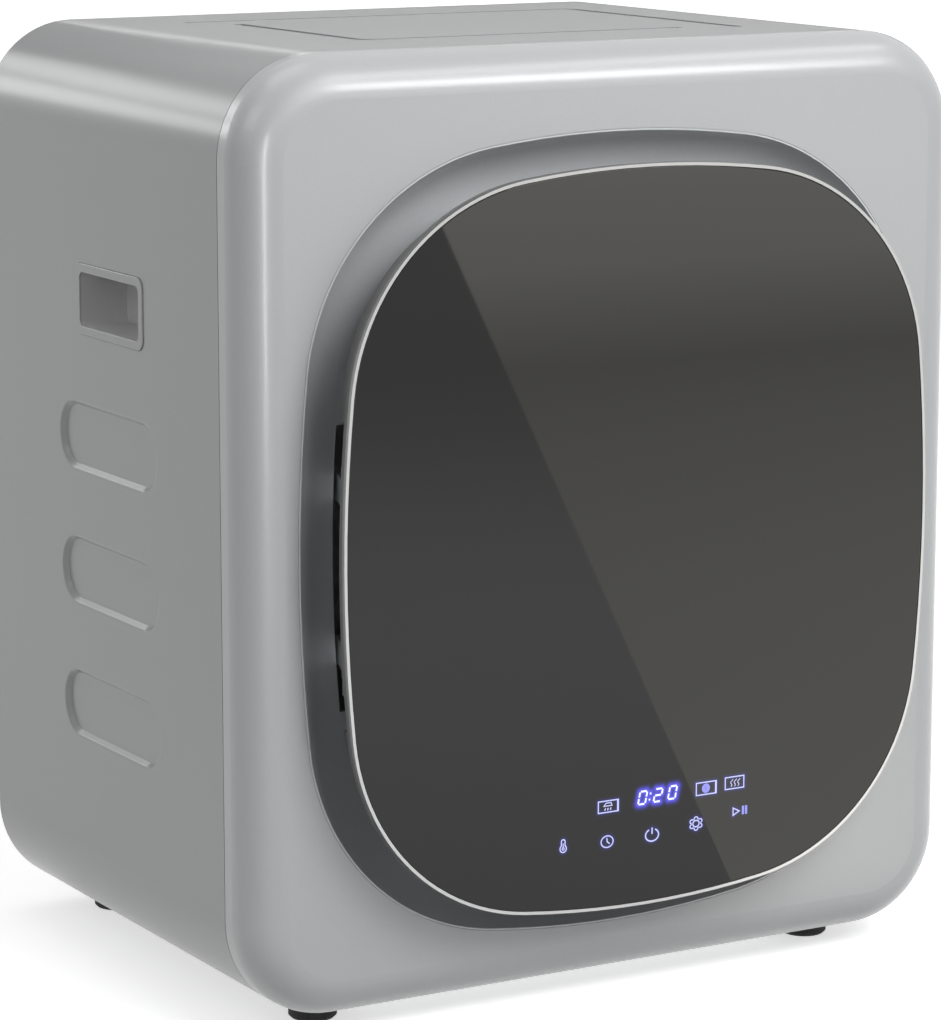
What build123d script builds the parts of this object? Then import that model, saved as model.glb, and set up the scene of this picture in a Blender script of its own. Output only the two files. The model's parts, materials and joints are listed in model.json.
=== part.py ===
from build123d import *
from math import acos, atan2, cos, degrees, pi, radians, sin, sqrt
import os

# Vented tumble dryer with a smoked glass door, a belt-driven drum and a belt-driven blower
# behind it. Millimetres, +Z up. The front faces -Y. The origin is on the floor, below the
# middle of the whole outline.

os.makedirs("parts", exist_ok=True)

# Cabinet
width = 589.0
cabinet_height = 672.0
cabinet_depth = 430.0
corner_radius = 71.7
sheet = 1.0
seam_depth = 40.0
seam_gap = 0.7
nose_radius = 29.5
panel_wall = 3.0
fit = 0.3
touch = 0.1
base_opening = 180.0
pan_edge = 20.0
flange = 14.0

# Feet
foot_height = 16.0
foot_radius = 17.5
foot_across = 212.0
foot_inset = 68.0
foot_inset_back = 35.0
foot_pocket = 4.0
foot_lip = 1.5
foot_screw_radius = 2.4
foot_screw_hole = 2.6
foot_screw_head = 5.0
foot_screw_height = 3.0

# Grip cups and pressed dents in the sides, pressed grooves in the top
cup_depth_back = 214.0
cup_height = 499.0
cup_size = (98.0, 39.0)
cup_border = 6.5
cup_corner = 5.0
cup_border_corner = 8.0
cup_back_round = 6.0
cup_reach = 38.0
cup_wall = 2.0
hollow_height = 30.0
hollow_setback = 10.0
dent_size = (163.0, 50.0)
dent_pitch = 100.5
dent_back = 221.0
dent_height = 297.0
dent_press = 3.5
dent_slope = 42.0
dent_round = 2.5
groove_width = 8.0
groove_press = 1.8

# Door outline: corner arcs, and sides that bow out a little between them
door_half_width = 241.0
door_half_height = 265.0
door_corner = 157.4
door_bulge = 5.2
door_height = 343.0
door_proud = 38.0
glass_thickness = 3.4
rim_width = 2.2
frame_edge = 4.0
frame_inset = 12.0
frame_wall = 3.0
notch_half = 108.0
bowl_margin = 14.0
touch_place = (10.0, 142.0)
touch_window_height = 60.0
touch_window_margin = 141.0

# Recessed ring round the door: how far it reaches past the door at the sides, ends and corners
dish_side_margin = 15.0
dish_end_margin = 21.0
dish_corner_margin = 11.9
dish_bulge = 5.6
dish_depth = 22.0
dish_cove = 36.0

# Drum, its mouth and its axis
drum_axis_height = 338.0
mouth_border = 71.0
drum_radius = 240.0
drum_sheet = 1.0
drum_neck = 8.0
bulkhead_depth = 58.0
drum_gap_front = 4.0
felt_thickness = 5.0
lint_radius = 106.0
lint_rise = 20.0
lint_wall = 2.0
shaft_radius = 10.0
bearing_radius = 16.0
bracket_size = (280.0, 56.0)
running = 0.05

# Rear compartment, from the rear panel forwards
rear_recess = 1.2
collar_radius = 50.0
collar_wall = 2.0
collar_proud = 26.0
collar_across = -150.0
collar_height = 120.0
housing_depth = 44.0
housing_wall = 2.0
rear_space = 72.0

# Rear panel: hooded louvres, cord gland and screws
louvre_size = (110.0, 11.0)
louvre_pitch = (150.0, 22.0)
louvre_count = 8
louvre_rise = 4.0
louvre_slope = 40.0
gland_place = (-215.0, 600.0)
gland_radius = 9.0
cord_hole = 4.0
panel_screw_hole = 2.2
panel_screw_radius = 1.9
panel_screw_head = 4.5
panel_screw_rise = 2.0
panel_screw_length = 7.0
driver_slot = (5.0, 1.1)

# Blower
wheel_radius = 94.0
wheel_eye = 70.0
wheel_width = 33.0
blade_count = 28
volute_start = 104.0
volute_step = 12.0

# Motor and belts
motor_radius = 44.0
motor_length = 92.0
motor_across = 190.0
motor_height = 78.0
rotor_shaft_radius = 6.0
drum_pulley_radius = 9.0
drum_belt_depth = 205.0
belt_width = 9.0
belt_thickness = 2.2
belt_gap = 0.3
fan_drive_radius = 30.0
fan_pulley_radius = 38.0
idler_radius = 14.0
idler_place = (135.0, 68.0)
idler_pivot = (95.0, 40.0)
idler_arm_depth = drum_belt_depth + belt_width + 4.0
arm_width = 17.0
stud_radius = 3.0
stud_head = 5.5

# Run capacitor on the pan, and the vents pressed through the pan
capacitor_across = -196.0
capacitor_back = 290.0
capacitor_radius = 20.0
capacitor_height = 66.0
tab_length = 8.0
pan_slot = (50.0, 8.0)
pan_slot_places = ((-90.0, 0.0), (-90.0, 60.0), (-20.0, 60.0))

# Door hinge and magnet catch
pin_inset = 16.0
pin_proud = 18.0
pin_radius = 3.0
hinge_height = 333.0
hinge_pitch = 115.0
arm_tall = 19.0
arm_thick = 9.0
barrel_radius = 6.5
pocket_reach = 101.0
catch_inset = 45.0
switch_rise = 52.0
magnet_size = (14.0, 34.0)
plunger_radius = 4.0

# Derived places
dish_half_width = door_half_width + dish_side_margin
dish_half_height = door_half_height + dish_end_margin
dish_corner = door_corner + dish_corner_margin
mouth_radius = door_half_width - mouth_border
pin_across = pin_inset - door_half_width
catch_across = door_half_width - catch_inset
touch_window = (2 * (door_half_width - touch_window_margin), touch_window_height)
total_depth = door_proud + cabinet_depth + collar_proud
face_y = door_proud - total_depth / 2
mid_height = foot_height + cabinet_height / 2
top_height = foot_height + cabinet_height
pan_floor = foot_height + 2 * sheet
pan_half = width / 2 - corner_radius - 2.0
rear_depth = cabinet_depth - rear_recess
rear_bulkhead_depth = cabinet_depth - rear_space
housing_front = rear_bulkhead_depth + sheet
housing_back = housing_front + housing_depth
fan_belt_depth = housing_back + 3.0
bracket_depth = fan_belt_depth + belt_width + 1.5
drum_front = bulkhead_depth + drum_gap_front
drum_back_depth = rear_bulkhead_depth - 12.0
foot_places = [
    (side * foot_across, face_y + depth)
    for side in (-1, 1)
    for depth in (foot_inset, cabinet_depth - foot_inset_back)
]
screw_places = [
    (side * across, height)
    for side in (-1, 1)
    for across, height in (
        (width / 2 - 7.5, mid_height - 180),
        (width / 2 - 7.5, mid_height + 180),
        (150, top_height - 7.5),
        (foot_across, foot_height + 7.5),
    )
]


def facing(depth, height=0.0, across=0.0):
    """Sketch plane seen from the front, `depth` behind the front face."""
    return Plane(
        origin=(across, face_y + depth, height), x_dir=(1, 0, 0), z_dir=(0, -1, 0)
    )


def beside(side, inset=0.0):
    """Sketch plane on the left (-1) or right (+1) side wall, seen from outside."""
    return Plane(
        origin=(side * (width / 2 - inset), 0, 0), x_dir=(0, side, 0), z_dir=(side, 0, 0)
    )


def axis_plane(depth, angle=0.0):
    """Sketch plane seen from the front, centred on the drum's axis and turned by `angle`."""
    turn = radians(angle)
    return Plane(
        origin=(0, face_y + depth, drum_axis_height),
        x_dir=(cos(turn), 0, sin(turn)), z_dir=(0, -1, 0),
    )


def turned(points, across=0.0, height=drum_axis_height, mode=Mode.ADD):
    """Revolve (radius, depth) points about a front-to-back axis, in the open part."""
    with BuildSketch(Plane(origin=(across, face_y, height), z_dir=(0, 0, 1))) as profile:
        with BuildLine():
            Polyline(*points, close=True)
        make_face()
    revolve(profile.sketch, axis=Axis((across, face_y, height), (0, 1, 0)), mode=mode)


def pulley(bore, groove, depth, front, back, across=0.0, height=drum_axis_height):
    """Flanged belt wheel of the open part; `front` and `back` are its flange thicknesses."""
    low, high = depth - belt_gap, depth + belt_width + belt_gap
    turned(
        [
            (bore, low - front), (groove + 3, low - front), (groove + 3, low), (groove, low),
            (groove, high), (groove + 3, high), (groove + 3, high + back), (bore, high + back),
        ],
        across, height,
    )


def body_outline(inset):
    """Cabinet section, drawn in by `inset`."""
    RectangleRounded(
        width - 2 * inset, cabinet_height - 2 * inset, corner_radius - inset
    )


def squarish_line(half_width, half_height, corner, bulge):
    """Closed line of tangent arcs: four corners, and four sides that bow out by `bulge`."""
    u = half_width - corner - bulge
    v = half_height - corner - bulge
    reach = (corner + bulge) ** 2 - corner**2
    side_radius = (v**2 + reach) / (2 * bulge)
    cap_radius = (u**2 + reach) / (2 * bulge)
    side_angle = degrees(atan2(v, u - half_width + side_radius))
    cap_angle = degrees(atan2(u, v - half_height + cap_radius))
    corner_angle = 90 - side_angle - cap_angle
    right = (half_width - side_radius, 0)
    left = (side_radius - half_width, 0)
    top = (0, half_height - cap_radius)
    bottom = (0, cap_radius - half_height)
    with BuildLine() as line:
        CenterArc(right, side_radius, -side_angle, 2 * side_angle)
        CenterArc((u, v), corner, side_angle, corner_angle)
        CenterArc(top, cap_radius, 90 - cap_angle, 2 * cap_angle)
        CenterArc((-u, v), corner, 90 + cap_angle, corner_angle)
        CenterArc(left, side_radius, 180 - side_angle, 2 * side_angle)
        CenterArc((-u, -v), corner, 180 + side_angle, corner_angle)
        CenterArc(bottom, cap_radius, 270 - cap_angle, 2 * cap_angle)
        CenterArc((u, -v), corner, 270 + cap_angle, corner_angle)
    return line


def door_line(inset):
    return squarish_line(
        door_half_width - inset, door_half_height - inset, door_corner - inset, door_bulge
    )


def dish_line(inset):
    return squarish_line(
        dish_half_width - inset, dish_half_height - inset, dish_corner - inset, dish_bulge
    )


def door_face(inset):
    """Door outline, drawn in by `inset`, as a face of the open sketch."""
    make_face(door_line(inset).edges())


def dish_face(inset):
    """Dish outline, drawn in by `inset`, as a face of the open sketch."""
    make_face(dish_line(inset).edges())


def ring(outer, inner):
    """Flat ring in the open sketch."""
    Circle(outer)
    Circle(inner, mode=Mode.SUBTRACT)


def belt_loop(wheels, inside, outside):
    """Closed line of tangents and arcs round (x, z, radius, side) wheels.

    side is 1 for a wheel inside the belt, which the line clears by `inside`, and -1 for one
    that presses on its back, which it clears by `outside`.
    """
    wheels = [
        (x, z, radius + (inside if side > 0 else outside), side)
        for x, z, radius, side in wheels
    ]
    legs = []
    for (x1, z1, r1, s1), (x2, z2, r2, s2) in zip(wheels, wheels[1:] + wheels[:1]):
        heading = atan2(z2 - z1, x2 - x1)
        lean = (s1 * r1 - s2 * r2) / sqrt((x2 - x1) ** 2 + (z2 - z1) ** 2)
        normal = heading - acos(lean)
        start = (x1 + s1 * r1 * cos(normal), z1 + s1 * r1 * sin(normal))
        end = (x2 + s2 * r2 * cos(normal), z2 + s2 * r2 * sin(normal))
        legs.append((start, end, normal))
    with BuildLine() as line:
        for start, end, normal in legs:
            Line(start, end)
        for index, (x, z, radius, side) in enumerate(wheels):
            arrive, leave = legs[index - 1], legs[index]
            turn = (leave[2] - arrive[2]) % (2 * pi)
            if side < 0:
                turn -= 2 * pi
            middle = arrive[2] + turn / 2
            crown = (x + side * radius * cos(middle), z + side * radius * sin(middle))
            ThreePointArc(arrive[1], crown, leave[0])
    return line


def save(part, label):
    """Label one finished piece and write it."""
    part.label = label
    export_step(part, f"parts/{label}.step")


# Cabinet wrap: a bent sheet with big round corners, open along the middle of its underside
wrap_front = seam_depth + seam_gap
wrap_length = cabinet_depth - wrap_front
dent_heights = [dent_height + dent_pitch * step for step in (-1, 0, 1)]
groove_lines = (
    [(-138, 318), (-138, 123), (128, 123)],
    [(-165, 350), (170, 350), (170, 108)],
)


def press_sides(inset, grow):
    """Cut the pressed dents and grooves into the open part, `grow` larger all round."""
    for side in (-1, 1):
        with BuildSketch(beside(side, inset)) as dents:
            for height in dent_heights:
                with Locations((side * (face_y + dent_back), height)):
                    SlotOverall(dent_size[0] + 2 * grow, dent_size[1] + 2 * grow)
        extrude(dents.sketch, amount=-dent_press, taper=dent_slope, mode=Mode.SUBTRACT)
        with BuildSketch(beside(side, inset)) as border:
            with Locations((side * (face_y + cup_depth_back), cup_height)):
                RectangleRounded(
                    cup_size[0] + 2 * (cup_border + grow + fit),
                    cup_size[1] + 2 * (cup_border + grow + fit),
                    cup_border_corner + grow,
                )
        extrude(border.sketch, amount=-sheet, mode=Mode.SUBTRACT)
    with BuildSketch(Plane.XY.offset(top_height - inset)) as grooves:
        for points in groove_lines:
            with BuildLine() as groove:
                FilletPolyline(*[(x, face_y + back) for x, back in points], radius=10)
            trace(groove.edges(), line_width=groove_width + 2 * grow)
    extrude(grooves.sketch, amount=-groove_press, mode=Mode.SUBTRACT)


with BuildPart() as wrap_core:
    with BuildSketch(facing(wrap_front - sheet, mid_height)):
        body_outline(sheet)
    extrude(amount=-(wrap_length + 2 * sheet))
    press_sides(sheet, sheet)

with BuildPart() as cabinet_wrap:
    with BuildSketch(facing(wrap_front, mid_height)):
        body_outline(0)
    extrude(amount=-wrap_length)
    press_sides(0, 0)
    dent_rims = (
        cabinet_wrap.edges()
        .filter_by(lambda edge: abs(abs(edge.center().X) - width / 2) < 0.01)
        .filter_by(lambda edge: edge.center().Z < cup_height - cup_size[1])
        .filter_by(lambda edge: abs(edge.center().Y - face_y - dent_back) < dent_size[0] / 2)
    )
    fillet(dent_rims, dent_round)
    add(wrap_core.part, mode=Mode.SUBTRACT)
    with BuildSketch(facing(rear_depth - 2 * sheet - touch, mid_height)):
        body_outline(sheet)
        RectangleRounded(
            width - 2 * flange, cabinet_height - 2 * flange, corner_radius - flange,
            mode=Mode.SUBTRACT,
        )
    extrude(amount=-sheet)
    with BuildSketch(facing(rear_depth - 2 * sheet - touch)):
        with Locations(*screw_places):
            Circle(panel_screw_hole)
    extrude(amount=-sheet, mode=Mode.SUBTRACT)
    with BuildSketch(Plane.XY.offset(foot_height)):
        with Locations(*foot_places):
            Circle(foot_screw_hole)
    extrude(amount=sheet, mode=Mode.SUBTRACT)
    with BuildSketch(facing(0, foot_height)):
        Rectangle(2 * base_opening, 4 * sheet)
    extrude(amount=-2 * cabinet_depth, mode=Mode.SUBTRACT)
    for side in (-1, 1):
        with BuildSketch(beside(side)):
            with Locations((side * (face_y + cup_depth_back), cup_height)):
                RectangleRounded(
                    cup_size[0] + 2 * (cup_wall + fit),
                    cup_size[1] + 2 * (cup_wall + fit),
                    cup_corner + cup_wall,
                )
        extrude(amount=-4 * sheet, mode=Mode.SUBTRACT)
save(cabinet_wrap.part, "cabinet_wrap")

# Grip cups: a border that lies on the sheet, and a pocket with a hollow for the fingers above
for side, label in ((-1, "grip_cup_left"), (1, "grip_cup_right")):
    centre = (side * (face_y + cup_depth_back), cup_height)
    with BuildPart() as cup:
        with BuildSketch(beside(side, sheet)):
            with Locations(centre):
                RectangleRounded(
                    cup_size[0] + 2 * cup_border, cup_size[1] + 2 * cup_border, cup_border_corner
                )
        extrude(amount=2.0)
        with BuildSketch(beside(side, sheet)):
            with Locations(centre):
                RectangleRounded(
                    cup_size[0] + 2 * cup_wall, cup_size[1] + 2 * cup_wall, cup_corner + cup_wall
                )
        extrude(amount=-cup_reach)
        with BuildSketch(beside(side, sheet + hollow_setback)):
            with Locations((centre[0], cup_height + cup_size[1] / 2)):
                RectangleRounded(cup_size[0] + 2 * cup_wall, hollow_height, cup_corner + cup_wall)
        extrude(amount=-(cup_reach - hollow_setback))
        fillet(cup.faces().sort_by(Axis.X)[0 if side > 0 else -1].edges(), cup_back_round)
        with BuildSketch(beside(side, sheet + hollow_setback + cup_wall)):
            with Locations((centre[0], cup_height + cup_size[1] / 2 - cup_wall)):
                RectangleRounded(cup_size[0], hollow_height, cup_corner)
        extrude(amount=-(cup_reach - hollow_setback - 2 * cup_wall), mode=Mode.SUBTRACT)
        with BuildSketch(beside(side, -1)):
            with Locations(centre):
                RectangleRounded(cup_size[0], cup_size[1], cup_corner)
        extrude(amount=-(cup_reach + 2 - cup_wall), mode=Mode.SUBTRACT)
        mouth_edges = cup.faces().sort_by(Axis.X)[-1 if side > 0 else 0].edges()
        fillet(mouth_edges, 0.7)
    save(cup.part, label)

# Front panel: a moulding with a rolled edge, and a lip that goes inside the wrap
lip_inset = sheet + fit
with BuildPart() as panel_core:
    with BuildSketch(facing(panel_wall, mid_height)):
        body_outline(panel_wall)
    extrude(amount=-seam_depth)
    fillet(
        panel_core.faces().sort_by(Axis.Y)[0].edges(), nose_radius - panel_wall
    )

with BuildPart() as front_panel:
    with BuildSketch(facing(0, mid_height)):
        body_outline(0)
    extrude(amount=-seam_depth)
    fillet(front_panel.faces().sort_by(Axis.Y)[0].edges(), nose_radius)
    with BuildSketch(facing(seam_depth, mid_height)):
        body_outline(lip_inset)
        body_outline(panel_wall + lip_inset - sheet)
    extrude(amount=-6)
    add(panel_core.part, mode=Mode.SUBTRACT)
    with BuildSketch(facing(seam_depth - 1, mid_height)):
        body_outline(panel_wall)
    extrude(amount=-8, mode=Mode.SUBTRACT)
    with BuildSketch(facing(0, door_height)):
        dish_face(0)
    extrude(amount=-seam_depth, mode=Mode.SUBTRACT)
    boss_x = width / 2 - 20
    boss_z = cabinet_height / 2 - 60
    with BuildSketch(facing(bulkhead_depth, mid_height)):
        with GridLocations(2 * boss_x, boss_z, 2, 3):
            Circle(6)
    extrude(until=Until.NEXT)
save(front_panel.part, "front_panel")

# Door surround: a concave ring with a flat floor, the drum's mouth and the hinge pocket
cove_width = dish_cove - 1.5
cove_radius = (cove_width**2 + dish_depth**2) / (2 * dish_depth)
cove_centre = dish_depth - cove_radius
back_radius = cove_radius + panel_wall
floor_edge = dish_cove + 24
surround_lip = panel_wall + 2.6
shoulder = dish_cove - sqrt(back_radius**2 - (surround_lip - cove_centre) ** 2)


def cove_point(radius, inset):
    """Point of the ring's section at `inset` from the dish edge, on a curve of `radius`."""
    return (-inset, cove_centre + sqrt(radius**2 - (dish_cove - inset) ** 2))


dish_path = facing(0, door_height).from_local_coords(dish_line(0).wire())
path_heading = dish_path % 0
section_plane = Plane(
    origin=dish_path @ 0, x_dir=Vector(0, 1, 0).cross(path_heading), z_dir=path_heading
)
with BuildPart() as door_surround:
    with BuildSketch(section_plane):
        with BuildLine():
            Polyline((-1.5, 0), (-fit, 0), (-fit, panel_wall), (9, panel_wall))
            Polyline((9, panel_wall), (9, surround_lip), (-shoulder, surround_lip))
            ThreePointArc(
                (-shoulder, surround_lip),
                cove_point(back_radius, (shoulder + dish_cove) / 2),
                (-dish_cove, dish_depth + panel_wall),
            )
            Polyline(
                (-dish_cove, dish_depth + panel_wall),
                (-floor_edge, dish_depth + panel_wall),
                (-floor_edge, dish_depth),
                (-dish_cove, dish_depth),
            )
            ThreePointArc(
                (-dish_cove, dish_depth),
                cove_point(cove_radius, (1.5 + dish_cove) / 2),
                (-1.5, 0),
            )
        make_face()
    sweep(path=dish_path)
    with BuildSketch(facing(dish_depth, door_height)):
        dish_face(floor_edge - 2)
    extrude(amount=-panel_wall)
    with BuildSketch(axis_plane(dish_depth)):
        Circle(mouth_radius + panel_wall)
    extrude(amount=-(bulkhead_depth - dish_depth))
    with BuildSketch(axis_plane(0)):
        Circle(mouth_radius)
    extrude(amount=-2 * bulkhead_depth, mode=Mode.SUBTRACT)
    with BuildSketch(facing(dish_depth - 6, door_height)):
        dish_face(dish_cove + 2)
        make_face(dish_line(dish_cove + 19).edges(), mode=Mode.SUBTRACT)
        with Locations((pin_across, hinge_height - door_height)):
            Rectangle(80, 2 * pocket_reach, mode=Mode.INTERSECT)
    extrude(amount=-4 * panel_wall, mode=Mode.SUBTRACT)
    with BuildSketch(facing(dish_depth, hinge_height)):
        with Locations((catch_across, 0)):
            Rectangle(*magnet_size)
        with Locations((catch_across - 8, switch_rise)):
            Circle(plunger_radius)
    extrude(amount=-panel_wall, mode=Mode.SUBTRACT)
save(door_surround.part, "door_surround")

# Base pan: rests on the wrap's turned-in edges and carries the motor
pan_front = seam_depth + 8
pan_back = rear_depth - 2 * sheet - 2 * touch
wall_front = bulkhead_depth + flange + 1
wall_back = rear_bulkhead_depth - 1
with BuildPart() as base_pan:
    with BuildSketch(Plane.XY.offset(foot_height + sheet)):
        with Locations((0, face_y + (pan_front + pan_back) / 2)):
            Rectangle(2 * pan_half, pan_back - pan_front)
    extrude(amount=sheet)
    with BuildSketch(Plane.XY.offset(pan_floor)):
        for side in (-1, 1):
            with Locations((side * (pan_half - sheet / 2), face_y + (wall_front + wall_back) / 2)):
                Rectangle(sheet, wall_back - wall_front)
    extrude(amount=pan_edge)
    with BuildSketch(Plane.XY.offset(foot_height)):
        with Locations(*foot_places):
            Circle(foot_screw_hole)
        with Locations(*pan_slot_places):
            SlotOverall(*pan_slot)
    extrude(amount=3 * sheet, mode=Mode.SUBTRACT)
save(base_pan.part, "base_pan")

# Feet: rubber pads held by a screw from inside the pan
with BuildPart() as foot:
    with BuildSketch(Plane.XZ):
        with BuildLine():
            Polyline(
                (0, 0),
                (foot_radius - 2, 0),
                (foot_radius, 2),
                (foot_radius, foot_height - foot_pocket),
                (foot_radius - foot_lip, foot_height - foot_pocket),
                (foot_radius - foot_lip, foot_height),
                (foot_screw_radius + touch, foot_height),
                (foot_screw_radius + touch, foot_pocket),
                (0, foot_pocket),
                (0, 0),
            )
        make_face()
    revolve(axis=Axis.Z)
for place, label in zip(
    foot_places, ("foot_front_left", "foot_rear_left", "foot_front_right", "foot_rear_right")
):
    with BuildPart() as placed_foot:
        with Locations(place):
            add(foot.part)
    save(placed_foot.part, label)

with BuildPart() as foot_screws:
    with BuildSketch(Plane.XY.offset(pan_floor)):
        with Locations(*foot_places):
            RegularPolygon(foot_screw_head, 6)
    extrude(amount=foot_screw_height)
    with BuildSketch(Plane.XY.offset(foot_pocket + 1)):
        with Locations(*foot_places):
            Circle(foot_screw_radius)
    extrude(amount=pan_floor - foot_pocket - 1)
save(foot_screws.part, "foot_screws")

# Front bulkhead: closes the drum's front, with the felt ring's seat and the warm air slots
neck_inner = drum_radius - drum_neck
felt_outer = neck_inner - fit
felt_inner = felt_outer - felt_thickness
window_radius = (felt_inner + mouth_radius) / 2 + 4


def trim_for_pan(depth, length):
    """Cut the open part so that it stands on the pan, with no flange along the bottom."""
    with BuildSketch(facing(depth, pan_floor + touch)) as below:
        Rectangle(2 * (pan_half + fit), 6 * sheet, align=(Align.CENTER, Align.MAX))
    extrude(below.sketch, amount=-length, mode=Mode.SUBTRACT)
    with BuildSketch(facing(depth + sheet, pan_floor)) as low_flange:
        Rectangle(2 * (pan_half + fit), flange)
    extrude(low_flange.sketch, amount=-length, mode=Mode.SUBTRACT)


with BuildPart() as front_bulkhead:
    with BuildSketch(facing(bulkhead_depth, mid_height)):
        body_outline(sheet + fit)
    extrude(amount=-flange)
    with BuildSketch(facing(bulkhead_depth + sheet, mid_height)):
        body_outline(2 * sheet + fit)
    extrude(amount=-flange, mode=Mode.SUBTRACT)
    with BuildSketch(axis_plane(bulkhead_depth)):
        ring(felt_inner, felt_inner - sheet)
    extrude(amount=-(drum_gap_front + 20))
    with BuildSketch(axis_plane(bulkhead_depth)):
        Circle(mouth_radius)
        with PolarLocations(window_radius, 9, start_angle=62, angular_range=56):
            SlotOverall(34, 9)
    extrude(amount=-sheet, mode=Mode.SUBTRACT)
    trim_for_pan(bulkhead_depth, 2 * flange)
save(front_bulkhead.part, "front_bulkhead")

# Felt rings: the drum's front neck turns on one, its back edge runs against the other
with BuildPart() as drum_felts:
    with BuildSketch(axis_plane(drum_front + 3)):
        ring(felt_outer, felt_inner)
    extrude(amount=-12)
    with BuildSketch(axis_plane(drum_back_depth + drum_sheet + fit)):
        ring(drum_radius - 3, drum_radius - 13)
    extrude(amount=-(rear_bulkhead_depth - drum_back_depth - drum_sheet - fit))
save(drum_felts.part, "drum_felts")

# Heater duct in front of the bulkhead, above the mouth, and the heater in it
duct_front = dish_depth + panel_wall + 1.5
duct_depth = bulkhead_depth - duct_front
duct_inner = mouth_radius + panel_wall + 5
duct_outer = duct_inner + 80
duct_half_angle = 40


def sector(outer, inner, half_angle):
    """Part of a ring in the open sketch, `half_angle` to each side of straight up."""
    reach = 2 * outer
    spread = radians(half_angle)
    corner = (reach * sin(spread), reach * cos(spread))
    Circle(outer)
    Circle(inner, mode=Mode.SUBTRACT)
    wedge = Polygon((0, 0), corner, (-corner[0], corner[1]), align=None, mode=Mode.PRIVATE)
    add(wedge, mode=Mode.INTERSECT)


with BuildPart() as heater_duct:
    with BuildSketch(axis_plane(duct_front)):
        sector(duct_outer, duct_inner, duct_half_angle)
    extrude(amount=-duct_depth)
    with BuildSketch(axis_plane(duct_front + sheet)):
        sector(duct_outer - sheet, duct_inner + sheet, duct_half_angle - 0.4)
    extrude(amount=-duct_depth, mode=Mode.SUBTRACT)
    for angle in (-26, -13, 0, 13, 26):
        with BuildSketch(axis_plane(duct_front + duct_depth / 2, angle)):
            with Locations((0, duct_outer)):
                Rectangle(44, 8)
        extrude(amount=9, both=True, mode=Mode.SUBTRACT)
save(heater_duct.part, "heater_duct")

core_half_angle = 32
with BuildPart() as heater_core:
    with BuildSketch(axis_plane(duct_front + 4)):
        sector(duct_outer - 8, duct_outer - 11, core_half_angle)
        for angle in range(4 - core_half_angle, core_half_angle, 4):
            with Locations(Location((0, 0), angle)):
                with Locations((0, duct_outer - 22)):
                    Rectangle(1.6, 26)
        for angle in (-core_half_angle, core_half_angle):
            with Locations(Location((0, 0), angle)):
                with Locations((0, duct_outer - sheet - fit)):
                    Rectangle(3, 34, align=(Align.CENTER, Align.MAX))
    extrude(amount=-(duct_depth - 8))
    with BuildSketch(axis_plane(duct_front + duct_depth / 2)):
        sector(duct_outer - 33, duct_outer - 36, core_half_angle)
    extrude(amount=(duct_depth - 8) / 2, both=True)
save(heater_core.part, "heater_core")

# Rear bulkhead: closes the drum's back and carries the blower
with BuildPart() as rear_bulkhead:
    with BuildSketch(facing(rear_bulkhead_depth, mid_height)):
        body_outline(sheet + fit)
    extrude(amount=-flange)
    with BuildSketch(facing(rear_bulkhead_depth + sheet, mid_height)):
        body_outline(2 * sheet + fit)
    extrude(amount=-flange, mode=Mode.SUBTRACT)
    with BuildSketch(facing(rear_bulkhead_depth)):
        with Locations((0, drum_axis_height)):
            Circle(wheel_eye - 4)
        with Locations((motor_across, motor_height)):
            Circle(2 * rotor_shaft_radius)
    extrude(amount=-sheet, mode=Mode.SUBTRACT)
    trim_for_pan(rear_bulkhead_depth, 2 * flange)
save(rear_bulkhead.part, "rear_bulkhead")

# Drum: a shell with a narrower front neck, a back plate, a spider and its shaft
drum_inner = drum_radius - drum_sheet
drum_rear = drum_back_depth + drum_sheet
with BuildPart() as drum_shell:
    turned(
        [
            (neck_inner, drum_front), (neck_inner + drum_sheet, drum_front),
            (neck_inner + drum_sheet, drum_front + 16), (drum_radius, drum_front + 24),
            (drum_radius, drum_rear), (drum_inner, drum_rear),
            (drum_inner, drum_front + 24.4), (neck_inner, drum_front + 16.4),
        ]
    )
save(drum_shell.part, "drum_shell")

with BuildPart() as drum_back:
    back_edge = drum_inner - touch
    turned(
        [
            (0, drum_back_depth), (back_edge - drum_sheet, drum_back_depth),
            (back_edge - drum_sheet, drum_back_depth - 9), (back_edge, drum_back_depth - 9),
            (back_edge, drum_rear), (0, drum_rear),
        ]
    )
    for angle in range(30, 390, 60):
        with BuildSketch(axis_plane(drum_back_depth, angle)):
            sector(96, 36, 22)
        extrude(amount=-drum_sheet, mode=Mode.SUBTRACT)
save(drum_back.part, "drum_back")

spider_thick = 6.0
with BuildPart() as drum_spider:
    with BuildSketch(axis_plane(drum_rear)):
        Circle(32)
        for angle in (0, 120, 240):
            with Locations(Location((0, 0), angle)):
                Polygon((-22, 0), (22, 0), (12, neck_inner - 10), (-12, neck_inner - 10), align=None)
    extrude(amount=-spider_thick)
save(drum_spider.part, "drum_spider")

with BuildPart() as drum_shaft:
    shaft_root = drum_rear + spider_thick
    turned(
        [
            (0, shaft_root), (22, shaft_root), (22, shaft_root + 4),
            (shaft_radius, shaft_root + 4), (shaft_radius, rear_depth - 3), (0, rear_depth - 3),
        ]
    )
save(drum_shaft.part, "drum_shaft")

lifter_front = drum_front + 36
for number, angle in enumerate((0, 120, 240), start=1):
    with BuildPart() as lifter:
        with BuildSketch(axis_plane(lifter_front, angle)) as lifter_section:
            Polygon(
                (-38, -drum_radius), (38, -drum_radius), (11, 54 - drum_radius),
                (-11, 54 - drum_radius), align=None,
            )
            fillet(lifter_section.vertices().group_by(Axis.Y)[-1], 9)
            Circle(drum_inner - touch, mode=Mode.INTERSECT)
        extrude(amount=-(drum_back_depth - 24 - lifter_front))
    save(lifter.part, f"lifter_{number}")

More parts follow.
